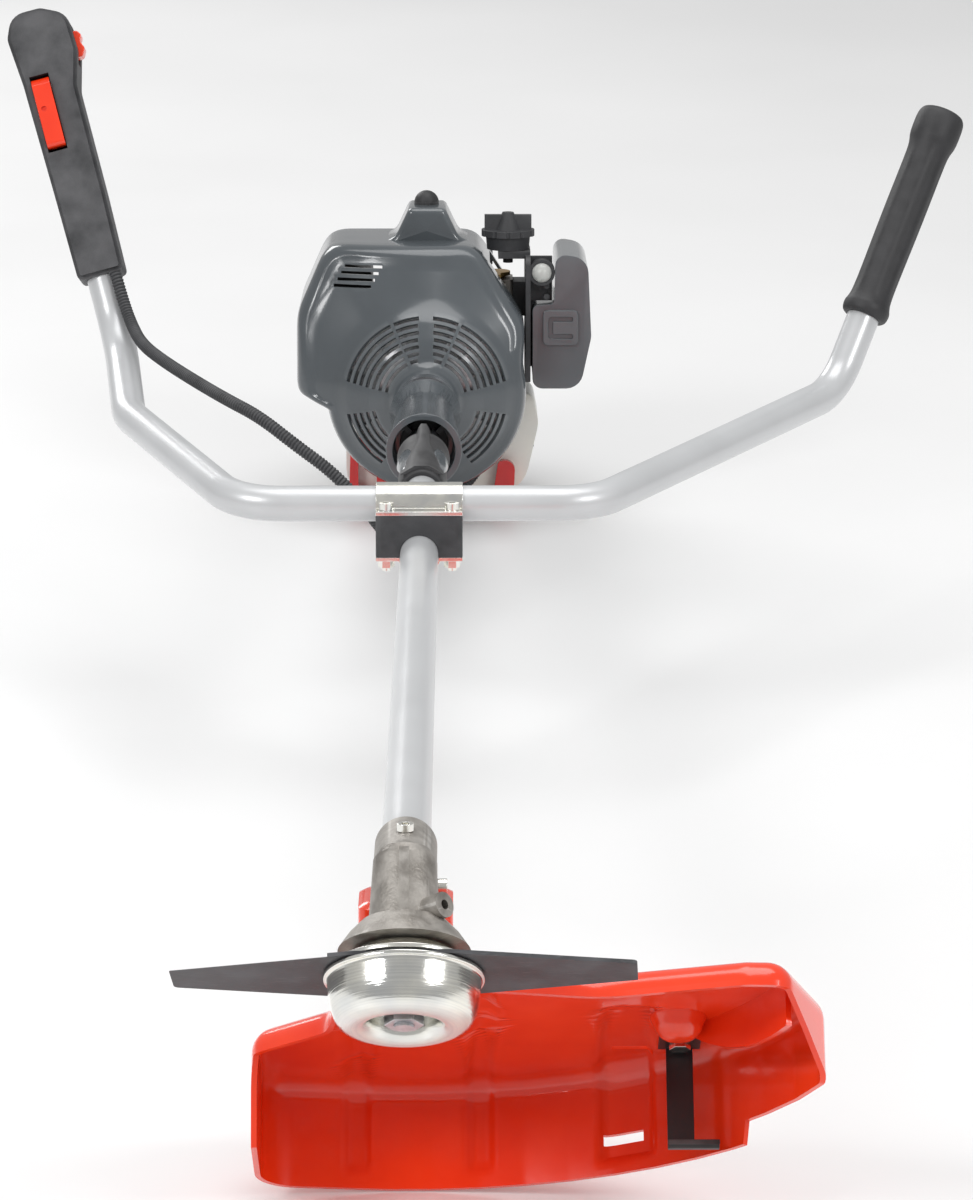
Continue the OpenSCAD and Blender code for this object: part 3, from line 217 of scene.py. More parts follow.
finishSet = {
    "blade_steel": dict(colour=(0.026, 0.026, 0.029), rough=0.5, mottle=0.18, mottleSize=0.02, roughSpread=0.09,
                        grain=0.25, grainSize=0.0009, edge=(0.16, 0.16, 0.17), scratch=0.25, specular=0.45),
    "zinc_plate": dict(colour=(0.80, 0.81, 0.80), second=(0.86, 0.83, 0.74), rough=0.2, metal=1.0, mottle=0.07,
                       mottleSize=0.018, roughSpread=0.07, grain=0.1, grainSize=0.002, edge=(0.9, 0.9, 0.88)),
    "steel": dict(colour=(0.50, 0.50, 0.52), rough=0.32, metal=1.0, mottle=0.12, mottleSize=0.012, grain=0.12,
                  edge=(0.75, 0.75, 0.76)),
    "cast_alloy": dict(colour=(0.30, 0.275, 0.245), second=(0.37, 0.35, 0.325), rough=0.52, metal=0.75,
                       mottle=0.26, mottleSize=0.011, roughSpread=0.12, grain=0.55, grainSize=0.0016,
                       grainDepth=0.0005, edge=(0.62, 0.6, 0.57), edgeFrom=0.53),
    "bronze": dict(colour=(0.48, 0.31, 0.11), rough=0.4, metal=1.0, mottle=0.15, grain=0.2),
    "tube_paint": dict(colour=(0.58, 0.59, 0.60), rough=0.34, metal=0.25, mottle=0.035, mottleSize=0.05,
                       roughSpread=0.05, grain=0.12, grainSize=0.0011, coat=0.25, coatRough=0.2),
    "orange_plastic": dict(colour=(0.86, 0.036, 0.006), second=(0.88, 0.05, 0.008), rough=0.2, mottle=0.05,
                           mottleSize=0.06, roughSpread=0.04, grain=0.05, grainSize=0.006, coat=0.5,
                           coatRough=0.06, specular=0.5),
    "black_steel": dict(colour=(0.016, 0.016, 0.017), rough=0.42, mottle=0.2, grain=0.2, edge=(0.1, 0.1, 0.1)),
    "black_plastic": dict(colour=(0.030, 0.031, 0.034), rough=0.58, mottle=0.16, mottleSize=0.02, grain=0.5,
                          grainSize=0.0011, grainDepth=0.00035, edge=(0.085, 0.085, 0.09), dust=(0.2, 0.2, 0.2)),
    "rubber": dict(colour=(0.022, 0.022, 0.024), rough=0.55, mottle=0.22, mottleSize=0.014, grain=0.35,
                   grainSize=0.0016, edge=(0.07, 0.07, 0.072), dust=(0.12, 0.12, 0.12)),
    "grey_plastic": dict(colour=(0.079, 0.090, 0.099), rough=0.2, mottle=0.07, mottleSize=0.05, roughSpread=0.05,
                         grain=0.07, grainSize=0.005, coat=0.4, coatRough=0.08, edge=(0.15, 0.165, 0.175)),
    "bare_alloy": dict(colour=(0.62, 0.62, 0.63), rough=0.4, metal=0.9, mottle=0.12, grain=0.35, grainSize=0.002),
    "ceramic": dict(colour=(0.86, 0.85, 0.82), rough=0.15, mottle=0.04, grain=0.03),
    "foam": dict(colour=(0.03, 0.03, 0.032), rough=0.95, mottle=0.4, mottleSize=0.003, grain=1.0, grainSize=0.0014,
                 grainDepth=0.0015),
    "clear_bulb": dict(colour=(0.82, 0.83, 0.80), rough=0.16, mottle=0.05, grain=0.05, through=0.45, ior=1.42),
    "tank_plastic": dict(colour=(0.82, 0.82, 0.79), second=(0.84, 0.82, 0.75), rough=0.34, mottle=0.05,
                         mottleSize=0.05, grain=0.12, grainSize=0.003, specular=0.4),
    "red_plastic": dict(colour=(0.60, 0.012, 0.014), second=(0.66, 0.016, 0.016), rough=0.24, mottle=0.08,
                        grain=0.08, grainSize=0.005, coat=0.3, coatRough=0.1),
}
finishes = {slot: makeFinish(slot, **values) for slot, values in finishSet.items()}
for name, cadNode in nodes.items():
    cadNode.data.materials.clear()
    cadNode.data.materials.append(finishes[slotOf[name]])
print("finishes made:", len(finishes))


# making and joining up pieces
def settle(piece, slotName, body, *stoodFor, finish=None):
    if not piece.data.materials:
        piece.data.materials.append(finish or finishes[slotName])
    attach(piece, body)
    if stoodFor:
        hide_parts(*stoodFor)
    return piece


def bodyOf(cadName):
    return nodes[cadName]["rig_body"]


def smoothSides(mesh, angle=35):
    mesh.shade_smooth()
    mesh.set_sharp_from_angle(angle=math.radians(angle))


def newPiece(name, verts, faces, matrix=None, angle=35):
    mesh = bpy.data.meshes.new(name)
    mesh.from_pydata([tuple(v) for v in verts], [], faces)
    if matrix is not None:  # shape in millimetres, kept in metres about the same axes
        mesh.transform(Matrix.Scale(0.001, 4))
    mesh.validate()
    built = bmesh.new()
    built.from_mesh(mesh)
    bmesh.ops.remove_doubles(built, verts=built.verts, dist=1e-7)
    bmesh.ops.recalc_face_normals(built, faces=built.faces)
    built.to_mesh(mesh)
    built.free()
    smoothSides(mesh, angle)
    piece = bpy.data.objects.new(name, mesh)
    scene.collection.objects.link(piece)
    if matrix is not None:
        piece.matrix_world = matrix @ Matrix.Scale(1000, 4)
    return piece


def applyModifiers(piece):
    shown = piece.evaluated_get(bpy.context.evaluated_depsgraph_get())
    mesh = bpy.data.meshes.new_from_object(shown)
    piece.modifiers.clear()
    piece.data = mesh
    return piece


def softBends(profile, passes=2):
    # rounds the inner corners of a turned profile by cutting them
    for _ in range(passes):
        cut = [profile[0]]
        for a, b in zip(profile, profile[1:]):
            cut += [(a[0] * 0.78 + b[0] * 0.22, a[1] * 0.78 + b[1] * 0.22),
                    (a[0] * 0.22 + b[0] * 0.78, a[1] * 0.22 + b[1] * 0.78)]
        profile = cut + [profile[-1]]
    return profile


def turned(name, profile, matrix, sides=96, shape=None, closed=True):
    # profile of (radius, height) turned about Z; shape(angle, height) scales the radius
    verts, faces = [], []
    n = len(profile)
    for k in range(sides):
        a = 2 * math.pi * k / sides
        for r, z in profile:
            q = r * (shape(a, z) if shape else 1)
            verts.append((q * math.cos(a), q * math.sin(a), z))
    for k in range(sides):
        for j in range(n if closed else n - 1):
            faces.append((k * n + j, ((k + 1) % sides) * n + j, ((k + 1) % sides) * n + (j + 1) % n,
                          k * n + (j + 1) % n))
    return newPiece(name, verts, faces, matrix)


def rolled(cadName, width=0.6, segments=2, angle=32, name=None):
    # the part's own shape with its edges rolled over
    mesh = nodes[cadName].data.copy()
    built = bmesh.new()
    built.from_mesh(mesh)
    bmesh.ops.remove_doubles(built, verts=built.verts, dist=2e-6)
    bmesh.ops.dissolve_limit(built, angle_limit=math.radians(0.7), verts=built.verts, edges=built.edges)
    built.to_mesh(mesh)
    built.free()
    mesh.materials.clear()
    piece = bpy.data.objects.new(name or cadName.replace("_", "") + "Shell", mesh)
    scene.collection.objects.link(piece)
    bevel = piece.modifiers.new("roll", "BEVEL")
    bevel.width = width * 0.001
    bevel.segments = segments
    bevel.limit_method = "ANGLE"
    bevel.angle_limit = math.radians(angle)
    bevel.use_clamp_overlap = True
    bevel.harden_normals = False
    bevel.miter_outer = "MITER_ARC"
    applyModifiers(piece)
    smoothSides(piece.data, 40)
    weighted = piece.modifiers.new("flatFaces", "WEIGHTED_NORMAL")
    weighted.keep_sharp = True
    applyModifiers(piece)
    settle(piece, slotOf[cadName], bodyOf(cadName), cadName)
    return piece


def unit(v):
    return v.normalized()


def cornerArc(before, corner, after, radius, count=8):
    u, v = unit(before - corner), unit(after - corner)
    half = u.angle(v) / 2
    centre = corner + unit(u + v) * radius / math.sin(half)
    start = unit(corner + u * radius / math.tan(half) - centre)
    end = unit(corner + v * radius / math.tan(half) - centre)
    across = unit(end - start * start.dot(end))
    sweep = math.pi - 2 * half
    return [centre + radius * (start * math.cos(sweep * k / count) + across * math.sin(sweep * k / count))
            for k in range(count + 1)]


def bentRoute(points, radii, count=14):
    route = [points[0]]
    for k in range(1, len(points) - 1):
        route += cornerArc(points[k - 1], points[k], points[k + 1], radii[k - 1], count)
    return route + [points[-1]]


def evenly(route, step):
    # the same route with its points a fixed step apart
    spaced = [route[0].copy()]
    left = step
    for a, b in zip(route, route[1:]):
        length = (b - a).length
        at = left
        while at < length:
            spaced.append(a.lerp(b, at / length))
            at += step
        left = at - length
    if (spaced[-1] - route[-1]).length > step * 0.3:
        spaced.append(route[-1].copy())
    else:
        spaced[-1] = route[-1].copy()
    return spaced


def swept(name, route, radiusAt, sides, matrix):
    # tube along a route, carried without twist; radiusAt(index) in millimetres
    heading = [unit(route[min(k + 1, len(route) - 1)] - route[max(k - 1, 0)]) for k in range(len(route))]
    across = unit(heading[0].orthogonal())
    rings = []
    for k, p in enumerate(route):
        across = unit(across - heading[k] * across.dot(heading[k]))
        other = heading[k].cross(across)
        rings.append([p + radiusAt(k) * (across * math.cos(2 * math.pi * s / sides) +
                                         other * math.sin(2 * math.pi * s / sides)) for s in range(sides)])
    verts = [v for ring in rings for v in ring]
    faces = []
    for k in range(len(rings) - 1):
        for s in range(sides):
            t = (s + 1) % sides
            faces.append((k * sides + s, k * sides + t, (k + 1) * sides + t, (k + 1) * sides + s))
    faces.append(tuple(range(sides)))
    faces.append(tuple(range((len(rings) - 1) * sides, len(rings) * sides)))
    return newPiece(name, verts, faces, matrix)


# throttle cable conduit: corrugated, from the control handle to the carburettor
conduitSet = {"width": 9.0, "groove": 0.75, "pitch": 2.5, "sides": 18}
conduitRoute = [Vector(p) for p in (
    (-223.3, 1110, 145), (-217, 1102.5, 124), (-210, 1089, 108), (-201, 1062, 99), (-184, 1022, 94),
    (-160, 975, 88), (-134, 928, 82), (-110, 899, 75), (-85, 884, 58), (-60, 876, 41), (-40, 872, 20),
    (-25, 882, -2), (-14, 900, -18), (-4, 924, -22), (0, 990, -22), (0, 1080, -22), (0, 1135, -26),
    (0, 1165, -36), (0, 1205, -39), (0, 1250, -42), (2, 1320, -44), (4, 1370, -56), (10, 1410, -76),
    (16, 1445, -90), (26, 1466, -88), (44, 1476, -68), (54, 1477, -40), (58, 1478, -10), (58, 1480, 20),
    (58, 1487, 44), (58, 1490, 62), (58, 1490, 75.9))]


def cutCorners(route):
    cut = [route[0]]
    for a, b in zip(route, route[1:]):
        cut += [a.lerp(b, 0.25), a.lerp(b, 0.75)]
    return cut + [route[-1]]


conduitPath = evenly(cutCorners(cutCorners(cutCorners(conduitRoute))), conduitSet["pitch"] / 4)
ribAt = [1.0, 0.72, 0.0, 0.72]
conduit = swept("conduit", conduitPath, lambda k: conduitSet["width"] / 2 - conduitSet["groove"] * (1 - ribAt[k % 4]),
                conduitSet["sides"], tubeFrame)
settle(conduit, "black_plastic", "frame", "throttle_conduit")
print("conduit made: %d points" % len(conduitPath))

# tubes
barSet = {"width": 24.0, "bends": (60, 60, 46, 46, 50), "sides": 40,
          "right": ((118, 822, 29.5), (300, 1103, 57), (383, 1185, 248)),
          "left": ((-122, 822, 29.5), (-206, 990, 60), (-220, 1107, 92), (-283, 1183, 318)),
          "gripLength": 164}
barRight = [Vector(p) for p in barSet["right"]]
barLeft = [Vector(p) for p in barSet["left"]]
gripDir = unit(barRight[2] - barRight[1])
gripLow = barRight[2] - gripDir * barSet["gripLength"]
handleDir = unit(barLeft[3] - barLeft[2])
barRoute = [barLeft[3] - handleDir * 108] + barLeft[2::-1] + [barRight[0], barRight[1], barRight[2] - gripDir * 4]
bar = swept("handlebarTube", bentRoute(barRoute, barSet["bends"]), lambda k: barSet["width"] / 2, barSet["sides"],
            tubeFrame)
settle(bar, "tube_paint", "frame", "handlebar")

tubeSet = {"outer": 12.7, "inner": 11.2, "from": 28.3, "to": 1330}
alongTube = tubeFrame @ Matrix.Rotation(math.radians(-90), 4, "X")   # Z runs back along the tube
outer, inner, tubeFrom, tubeTo = (tubeSet[key] for key in ("outer", "inner", "from", "to"))
driveTube = turned("driveTube", [(outer, tubeFrom + 0.4), (outer, tubeTo - 0.4), (outer - 0.4, tubeTo),
                                 (inner, tubeTo), (inner, tubeFrom), (outer - 0.4, tubeFrom)], alongTube)
settle(driveTube, "tube_paint", "frame", "drive_tube")
print("tubes made")

# cutting head
cupSet = {"low": -77, "profile": [(5.2, 14), (18, 14), (18.6, 4), (22, 0), (27, 0), (32.5, 3), (35.5, 10),
                                  (36.3, 22), (37, 25.6), (40, 25.9), (40, 23.6), (38.4, 23.4), (37.9, 21),
                                  (37, 10), (33.7, 1.8), (28, -1.6), (21, -1.6), (17, 3.2), (16.4, 12.4),
                                  (5.2, 12.4)]}
cupAt = headFrame @ Matrix.Translation((0, 0, cupSet["low"]))
cup = turned("riderCup", softBends(cupSet["profile"] + [cupSet["profile"][0]])[:-1], cupAt, sides=128)
cupFinish = makeFinish("spunZinc", colour=(0.80, 0.81, 0.80), second=(0.84, 0.82, 0.74), rough=0.17, metal=1.0,
                       mottle=0.08, mottleSize=0.02, roughSpread=0.06, grain=0.2, grainSize=0.004, rings=700.0,
                       edge=(0.9, 0.9, 0.88))
settle(cup, "zinc_plate", "cutter", "rider_cup", finish=cupFinish)

# carried-over parts with their edges rolled over, width in millimetres
rolledParts = {
    "blade": 0.25, "thrust_plate": 0.5, "nut_and_washer": 0.4, "gear_head_case": 1.0, "guard_plate": 0.4,
    "line_knife": 0.3, "head_screws": 0.3, "clamp_base": 1.0, "clamp_cap": 0.5, "clamp_strap": 0.5,
    "clamp_bolts": 0.35, "control_handle_front": 1.6, "control_handle_back": 1.6, "handle_screws": 0.25,
    "throttle_trigger": 0.8, "lockout_lever": 0.8, "stop_switch": 0.8, "harness_clamp": 0.6, "tube_collar": 1.2,
    "av_rubber": 0.8, "flywheel_fan": 0.5, "ignition_coil": 0.6, "plug_boot": 1.2,
    "muffler": 1.0, "carburetor": 0.7, "filter_base": 0.6, "filter_cover": 1.8,
    "primer_bulb": 0.3, "choke_knob": 0.9, "starter_housing": 1.6, "starter_grip": 1.2, "fuel_tank": 3.0,
    "fuel_cap": 0.8, "foot": 1.0, "air_filter": 0.8,
}
for cadName, width in rolledParts.items():
    rolled(cadName, width)
print("rolled parts made:", len(rolledParts))



# shells laid out as grids
def ease(value, low, high):
    k = min(1.0, max(0.0, (value - low) / (high - low)))
    return k * k * (3 - 2 * k)


def between(table, x):
    for (x0, y0), (x1, y1) in zip(table, table[1:]):
        if x <= x1:
            return y0 + (y1 - y0) * min(1.0, max(0.0, (x - x0) / (x1 - x0)))
    return table[-1][1]


def roundedOutline(corners, step):
    # closed outline with every corner (x, y, radius) rounded, its points a step apart
    spots = [Vector((c[0], c[1])) for c in corners]
    route = []
    for k, (x, y, radius) in enumerate(corners):
        before, after = spots[k - 1], spots[(k + 1) % len(spots)]
        route += cornerArc(before, spots[k], after, radius) if radius else [spots[k]]
    return evenly(route + [route[0]], step)[:-1]


def inwardOf(outline):
    ways = []
    for k in range(len(outline)):
        along = unit(outline[(k + 1) % len(outline)] - outline[k - 1])
        ways.append(Vector((-along.y, along.x)))
    return ways


def gridShell(name, columns, matrix, thickness, keep=None, middle=None, cutters=(), angle=40):
    # columns run outwards from the middle; thickness is grown from the sheet along its normals
    rows = len(columns[0])
    verts = [v for column in columns for v in column]
    count = len(columns)
    faces = []
    for j in range(count):
        following = ((j + 1) % count) * rows
        for i in range(rows - 1):
            if keep is None or keep(j, i):
                faces.append((j * rows + i, j * rows + i + 1, following + i + 1, following + i))
    if middle is not None:
        verts.append(middle)
        faces += [(len(verts) - 1, j * rows, ((j + 1) % count) * rows) for j in range(count)]
    piece = newPiece(name, verts, faces, matrix, angle)
    thick = piece.modifiers.new("thickness", "SOLIDIFY")
    thick.thickness = abs(thickness) * 0.001
    thick.offset = 1 if thickness > 0 else -1
    thick.use_even_offset = True
    applyModifiers(piece)
    if cutters:
        blocks = newPiece(name + "Cutter", *cuboids(cutters), matrix)
        cut = piece.modifiers.new("openings", "BOOLEAN")
        cut.object = blocks
        cut.operation = "DIFFERENCE"
        cut.solver = "EXACT"
        applyModifiers(piece)
        bpy.data.objects.remove(blocks)
    smoothSides(piece.data, angle)
    return piece


def loftedBar(name, rings, matrix, angle=35):
    # rings of points joined in order, with both ends filled
    count, last = len(rings[0]), len(rings) * len(rings[0]) - 1
    faces = [(k * count + i, k * count + (i + 1) % count, (k + 1) * count + (i + 1) % count, (k + 1) * count + i)
             for k in range(len(rings) - 1) for i in range(count)]
    ends = [tuple(range(count)), tuple(range(last, last - count, -1))]
    return newPiece(name, [v for ring in rings for v in ring], faces + ends, matrix, angle)


def cuboids(blocks):
    # separate boxes, each from its lowest to its highest corner
    verts, faces = [], []
    for low, high in blocks:
        k = len(verts)
        verts += [(x, y, z) for x in (low[0], high[0]) for y in (low[1], high[1]) for z in (low[2], high[2])]
        faces += [tuple(k + n for n in face) for face in
                  ((0, 1, 3, 2), (4, 6, 7, 5), (0, 4, 5, 1), (2, 3, 7, 6), (0, 2, 6, 4), (1, 5, 7, 3))]
    return verts, faces


# guard
guardSet = {"radius": 242, "top": -24, "low": -85, "lip": -40, "wall": 3, "fold": 10, "foldRows": 7, "step": 2.2,
            "middle": (70, 130), "roofRows": 24, "wallRows": 18, "fluteAt": (-28, 38), "fluteWide": 15,
            "fluteDeep": 2.6, "recessDeep": 4.0,
            "corners": [(-82, 148, 16), (-42, 114, 14), (-30, 50, 14), (24, 48, 20), (100, 62, 60), (171, 43, 20),
                        (192, 44, 14), (216, 106, 14)],
            "rearLeft": (-82, 234, 24),
            "slots": (((108, 185, -40), (130, 190, -10)), ((104, 195, -68), (125, 252, -62)))}
rearArc = [(guardSet["radius"] * math.cos(math.radians(a)), guardSet["radius"] * math.sin(math.radians(a)), 0)
           for a in range(33, 102, 6)]
guardOutline = roundedOutline(guardSet["corners"] + rearArc + [guardSet["rearLeft"]], guardSet["step"])


def guardEdge(x, y):
    # height of the lower edge
    if x > 178:
        return between([(50, guardSet["lip"]), (75, -52), (108, -70), (200, -74)], y)
    if x < -20 and y < 190:
        return between([(149, guardSet["lip"]), (166, guardSet["low"])], y)
    return guardSet["lip"] if y < 75 else guardSet["low"]


def guardBulge(x, y, z):
    # outward swelling: two flutes and the recess beside the knife
    across = max(math.cos(math.pi * (x - at) / guardSet["fluteWide"]) if abs(x - at) < guardSet["fluteWide"] / 2
                 else 0.0 for at in guardSet["fluteAt"])
    ends = ease(y, 84, 94) * ease(z, -78, -71)
    recess = ease(x, 99, 105) * (1 - ease(x, 127, 131)) * ease(y, 112, 120) * ease(z, -79, -74)
    return guardSet["fluteDeep"] * min(1.0, 1.8 * across) * ends + guardSet["recessDeep"] * recess


guardColumns = []
fold, wall, wallRows = guardSet["fold"], guardSet["wall"], guardSet["wallRows"]
roofLow = guardSet["top"] - wall
roofMiddle = Vector(guardSet["middle"])
for spot, inward in zip(guardOutline, inwardOf(guardOutline)):
    edge = guardEdge(spot.x, spot.y)
    rim = spot + inward * (wall + fold)
    column = []
    for i in range(1, guardSet["roofRows"] + 1):
        at = roofMiddle.lerp(rim, (i / guardSet["roofRows"]) ** 0.8)
        column.append(Vector((at.x, at.y, roofLow + guardBulge(at.x, at.y, roofLow))))
    drop = [(fold * (1 - math.sin(a)), fold * (1 - math.cos(a))) for a in
            (math.radians(90 * k / guardSet["foldRows"]) for k in range(1, guardSet["foldRows"] + 1))]
    drop += [(0, fold + (roofLow - fold - edge) * k / wallRows) for k in range(1, wallRows + 1)]
    for back, down in drop:
        at = spot + inward * (wall + back)
        swell = guardBulge(at.x, at.y, roofLow - down)
        tilt = math.sqrt(max(0.0, 1 - (1 - min(back, fold) / fold) ** 2)) if back else 0.0
        at = at - inward * swell * (1 - tilt)
        column.append(Vector((at.x, at.y, roofLow - down + swell * tilt)))
    guardColumns.append(column)
guardShell = gridShell("guardShell", guardColumns, headFrame, wall, middle=Vector((*guardSet["middle"], roofLow)),
                       cutters=guardSet["slots"])
settle(guardShell, "orange_plastic", "frame", "guard")

bossSet = {"at": (141, 130), "profile": [(0.02, -12.5), (5, -12.3), (9, -10.5), (12, -7), (13.5, -3), (15, 0),
                                         (15, 1.5), (0.02, 1.5)]}
boss = turned("guardBoss", softBends(bossSet["profile"]),
              headFrame @ Matrix.Translation((*bossSet["at"], roofLow)), sides=64)
settle(boss, "orange_plastic", "frame")
ribSet = {"radii": (205, 208), "from": 20, "turn": 24, "steps": 20, "low": -52, "rise": 20}
ribRings = []
for k in range(ribSet["steps"] + 1):
    share = k / ribSet["steps"]
    angle = math.radians(ribSet["from"] + ribSet["turn"] * share)
    foot = ribSet["low"] + ribSet["rise"] * share * share * share
    nearRadius, farRadius = ribSet["radii"]
    ribRings.append([Vector((r * math.cos(angle), r * math.sin(angle), z)) for r, z in
                     ((nearRadius, roofLow + 1), (nearRadius, foot), (farRadius, foot), (farRadius, roofLow + 1))])
rib = loftedBar("guardRib", ribRings, headFrame)
settle(rib, "orange_plastic", "frame")

# neck up to the pad under the gear head
headTip = math.acos(max(-1.0, min(1.0, bladeAxis.dot(side.cross(tubeAxis)))))
neckSet = {"corners": [(-21, 30, 4), (21, 30, 4), (21, 64, 4), (-21, 64, 4)], "heart": (0, 47, -24.2), "wall": 3,
           "flare": 3, "rows": 6, "topRings": (0.3, 0.7, 0.92), "step": 2.0}
neckOutline = roundedOutline(neckSet["corners"], neckSet["step"])
neckHeart = Vector(neckSet["heart"])
sideTop = neckHeart.z - 1
neckColumns = []
for spot, inward in zip(neckOutline, inwardOf(neckOutline)):
    foot = (guardSet["top"] - 1 - spot.y * math.sin(headTip)) / math.cos(headTip)
    column = [neckHeart.lerp(Vector((spot.x, spot.y, neckHeart.z)), k) for k in neckSet["topRings"]]
    column += [Vector((spot.x, spot.y, sideTop + (foot - sideTop) * k / neckSet["rows"]))
               for k in range(neckSet["rows"] + 1)]
    flare = spot - inward * neckSet["flare"]
    column.append(Vector((flare.x, flare.y, foot - 1)))
    neckColumns.append(column)
neck = gridShell("guardNeck", neckColumns, tubeFrame, -neckSet["wall"], middle=neckHeart)
settle(neck, "orange_plastic", "frame")
print("guard made")

# engine's front cover: cowl and shroud as one form
coverSet = {"cowl": 80, "neck": 23.5, "louvre": 31, "pitch": 5.2, "slot": 2.8, "rings": 7, "sides": 288,
            "front": [(23.5, 1384), (26, 1392), (31, 1397.5), (46, 1402.5), (62, 1412), (72, 1422)],
            "cone": (72, 1422), "slope": 0.6, "edgeDeep": 15, "edgeWide": 13.0, "wall": 2.5,
            "outline": [(-104, -8, 12), (76, -8, 10), (79, 56, 18), (40, 116, 14), (-80, 116, 14), (-104, 62, 26)],
            "back": 1556, "cowlBack": 1463, "window": ((40, 1480, 44), (95, 1548, 99))}
coverEdge = roundedOutline(coverSet["outline"], 1.0)


def rayLength(angle, outline):
    # how far out the outline lies at an angle clockwise from the top
    way = Vector((math.sin(angle), math.cos(angle)))
    best = 0.0
    for a, b in zip(outline, outline[1:] + outline[:1]):
        hit = geometry.intersect_line_line_2d(Vector((0, 0)), way * 400, a, b)
        if hit:
            best = max(best, hit.length)
    return best


reach = [rayLength(2 * math.pi * j / coverSet["sides"], coverEdge) for j in range(coverSet["sides"])]
ringRadii = [coverSet["neck"], 25, 27.5]
for k in range(coverSet["rings"]):
    ringStart = coverSet["louvre"] + coverSet["pitch"] * k
    ringRadii += [ringStart, ringStart + coverSet["slot"]]
coneRadius, coneY = coverSet["cone"]
ringRadii += [68.5, coneRadius]
faceRows, foldRows, sideRows = 5, 6, 6
coverColumns = []
for j in range(coverSet["sides"]):
    angle = 2 * math.pi * j / coverSet["sides"]
    nearby = [max(coverSet["cowl"], reach[(j + k) % coverSet["sides"]]) for k in range(-3, 4)]
    far = sum(nearby) / len(nearby)
    roll = min(coverSet["edgeWide"], 0.8 * (far - coneRadius))
    faceEnd = far - roll
    faceY = coneY + (faceEnd - coneRadius) * coverSet["slope"]
    edgeY = faceY + coverSet["edgeDeep"]
    back = coverSet["back"] if reach[j] > coverSet["cowl"] else coverSet["cowlBack"]
    rows = [(r, between(coverSet["front"], r)) for r in ringRadii]
    rows += [(coneRadius + (faceEnd - coneRadius) * k / faceRows, coneY + (faceY - coneY) * k / faceRows)
             for k in range(1, faceRows + 1)]
    rows += [(faceEnd + roll * math.sin(a), faceY + coverSet["edgeDeep"] * (1 - math.cos(a))) for a in
             (math.radians(90 * k / foldRows) for k in range(1, foldRows + 1))]
    rows += [(far, edgeY + (back - edgeY) * k / sideRows) for k in range(1, sideRows + 1)]
    coverColumns.append([Vector((r * math.sin(angle), y, r * math.cos(angle))) for r, y in rows])

# louvres in degrees from the top: the upper ones end at upperEnd, the lower ones lie between the lower pair
louvreSet = {"topRib": 6, "thinRib": 25, "thinRibHalf": 1.3, "upperEnd": 79, "lowerFrom": 102, "lowerTo": 146,
             "lowerInner": 40, "firstRow": 3}


def coverKept(j, i):
    # leaves out the louvres
    row = i - louvreSet["firstRow"]
    if not (0 <= row < 2 * coverSet["rings"] and row % 2 == 0):
        return True
    turn = 360 * (j + 0.5) / coverSet["sides"]
    turn = min(turn, 360 - turn)
    radius = (ringRadii[i] + ringRadii[i + 1]) / 2
    fromThinRib = abs(turn - louvreSet["thinRib"]) * radius * 0.01745
    upper = (radius * math.sin(math.radians(turn)) > louvreSet["topRib"] and turn < louvreSet["upperEnd"]
             and fromThinRib > louvreSet["thinRibHalf"])
    lower = louvreSet["lowerFrom"] < turn < louvreSet["lowerTo"] and radius > louvreSet["lowerInner"]
    return not (upper or lower)


sideSlots = [((-112, 1470, z), (-98, 1534, z + 4.5)) for z in range(8, 60, 10)]
shoulderSlots = [((-74 + 3 * i, 1420, 84 + 5.0 * i), (-44 + 3 * i, 1470, 86.4 + 5.0 * i)) for i in range(4)]
cover = gridShell("engineCover", coverColumns, tubeFrame, -coverSet["wall"], keep=coverKept,
                  cutters=sideSlots + shoulderSlots + [coverSet["window"]])
settle(cover, "grey_plastic", "frame", "fan_cowl", "cylinder_shroud")

# hump over the spark plug
humpSet = {"outline": [(-44, 110, 2), (44, 110, 2), (26, 119, 14), (15, 142, 5), (-14, 142, 5), (-25, 119, 14)],
           "from": 1484, "to": 1542, "heart": (0, 124), "crown": 1.5, "inset": 2.5, "step": 1.5,
           "sides": ((1, 1.2), (3, 0.3), (6, 0), (52, 0), (55, 0.4), (57, 1.5))}   # depth and inset
humpEdge = roundedOutline(humpSet["outline"], humpSet["step"])
humpHeart = Vector(humpSet["heart"])
humpFrom, humpTo = humpSet["from"], humpSet["to"]
humpColumns = []
for spot, inward in zip(humpEdge, inwardOf(humpEdge)):
    rim = spot + inward * humpSet["inset"]
    column = [Vector((at.x, humpFrom - humpSet["crown"] * (1 - k), at.y)) for k, at in
              ((k, humpHeart.lerp(rim, k)) for k in (0.25, 0.55, 0.8, 0.95))]
    for depth, back in humpSet["sides"]:
        at = spot + inward * back
        column.append(Vector((at.x, humpFrom + depth, at.y)))
    column += [Vector((at.x, humpTo, at.y)) for at in (humpHeart.lerp(rim, k) for k in (0.9, 0.5))]
    column.append(Vector((humpHeart.x, humpTo, humpHeart.y)))
    humpColumns.append(column)
across = len(humpColumns[0])
humpVerts = [v for column in humpColumns for v in column]
humpVerts.append(Vector((humpHeart.x, humpFrom - humpSet["crown"], humpHeart.y)))
humpFaces = []
for j in range(len(humpColumns)):
    following = (j + 1) % len(humpColumns)
    humpFaces.append((len(humpVerts) - 1, j * across, following * across))
    humpFaces += [(j * across + i, j * across + i + 1, following * across + i + 1, following * across + i)
                  for i in range(across - 2)]
    humpFaces.append((j * across + across - 2, j * across + across - 1, following * across + across - 2))
hump = newPiece("plugHump", humpVerts, humpFaces, tubeFrame, 50)
settle(hump, "grey_plastic", "frame")
print("engine cover made")

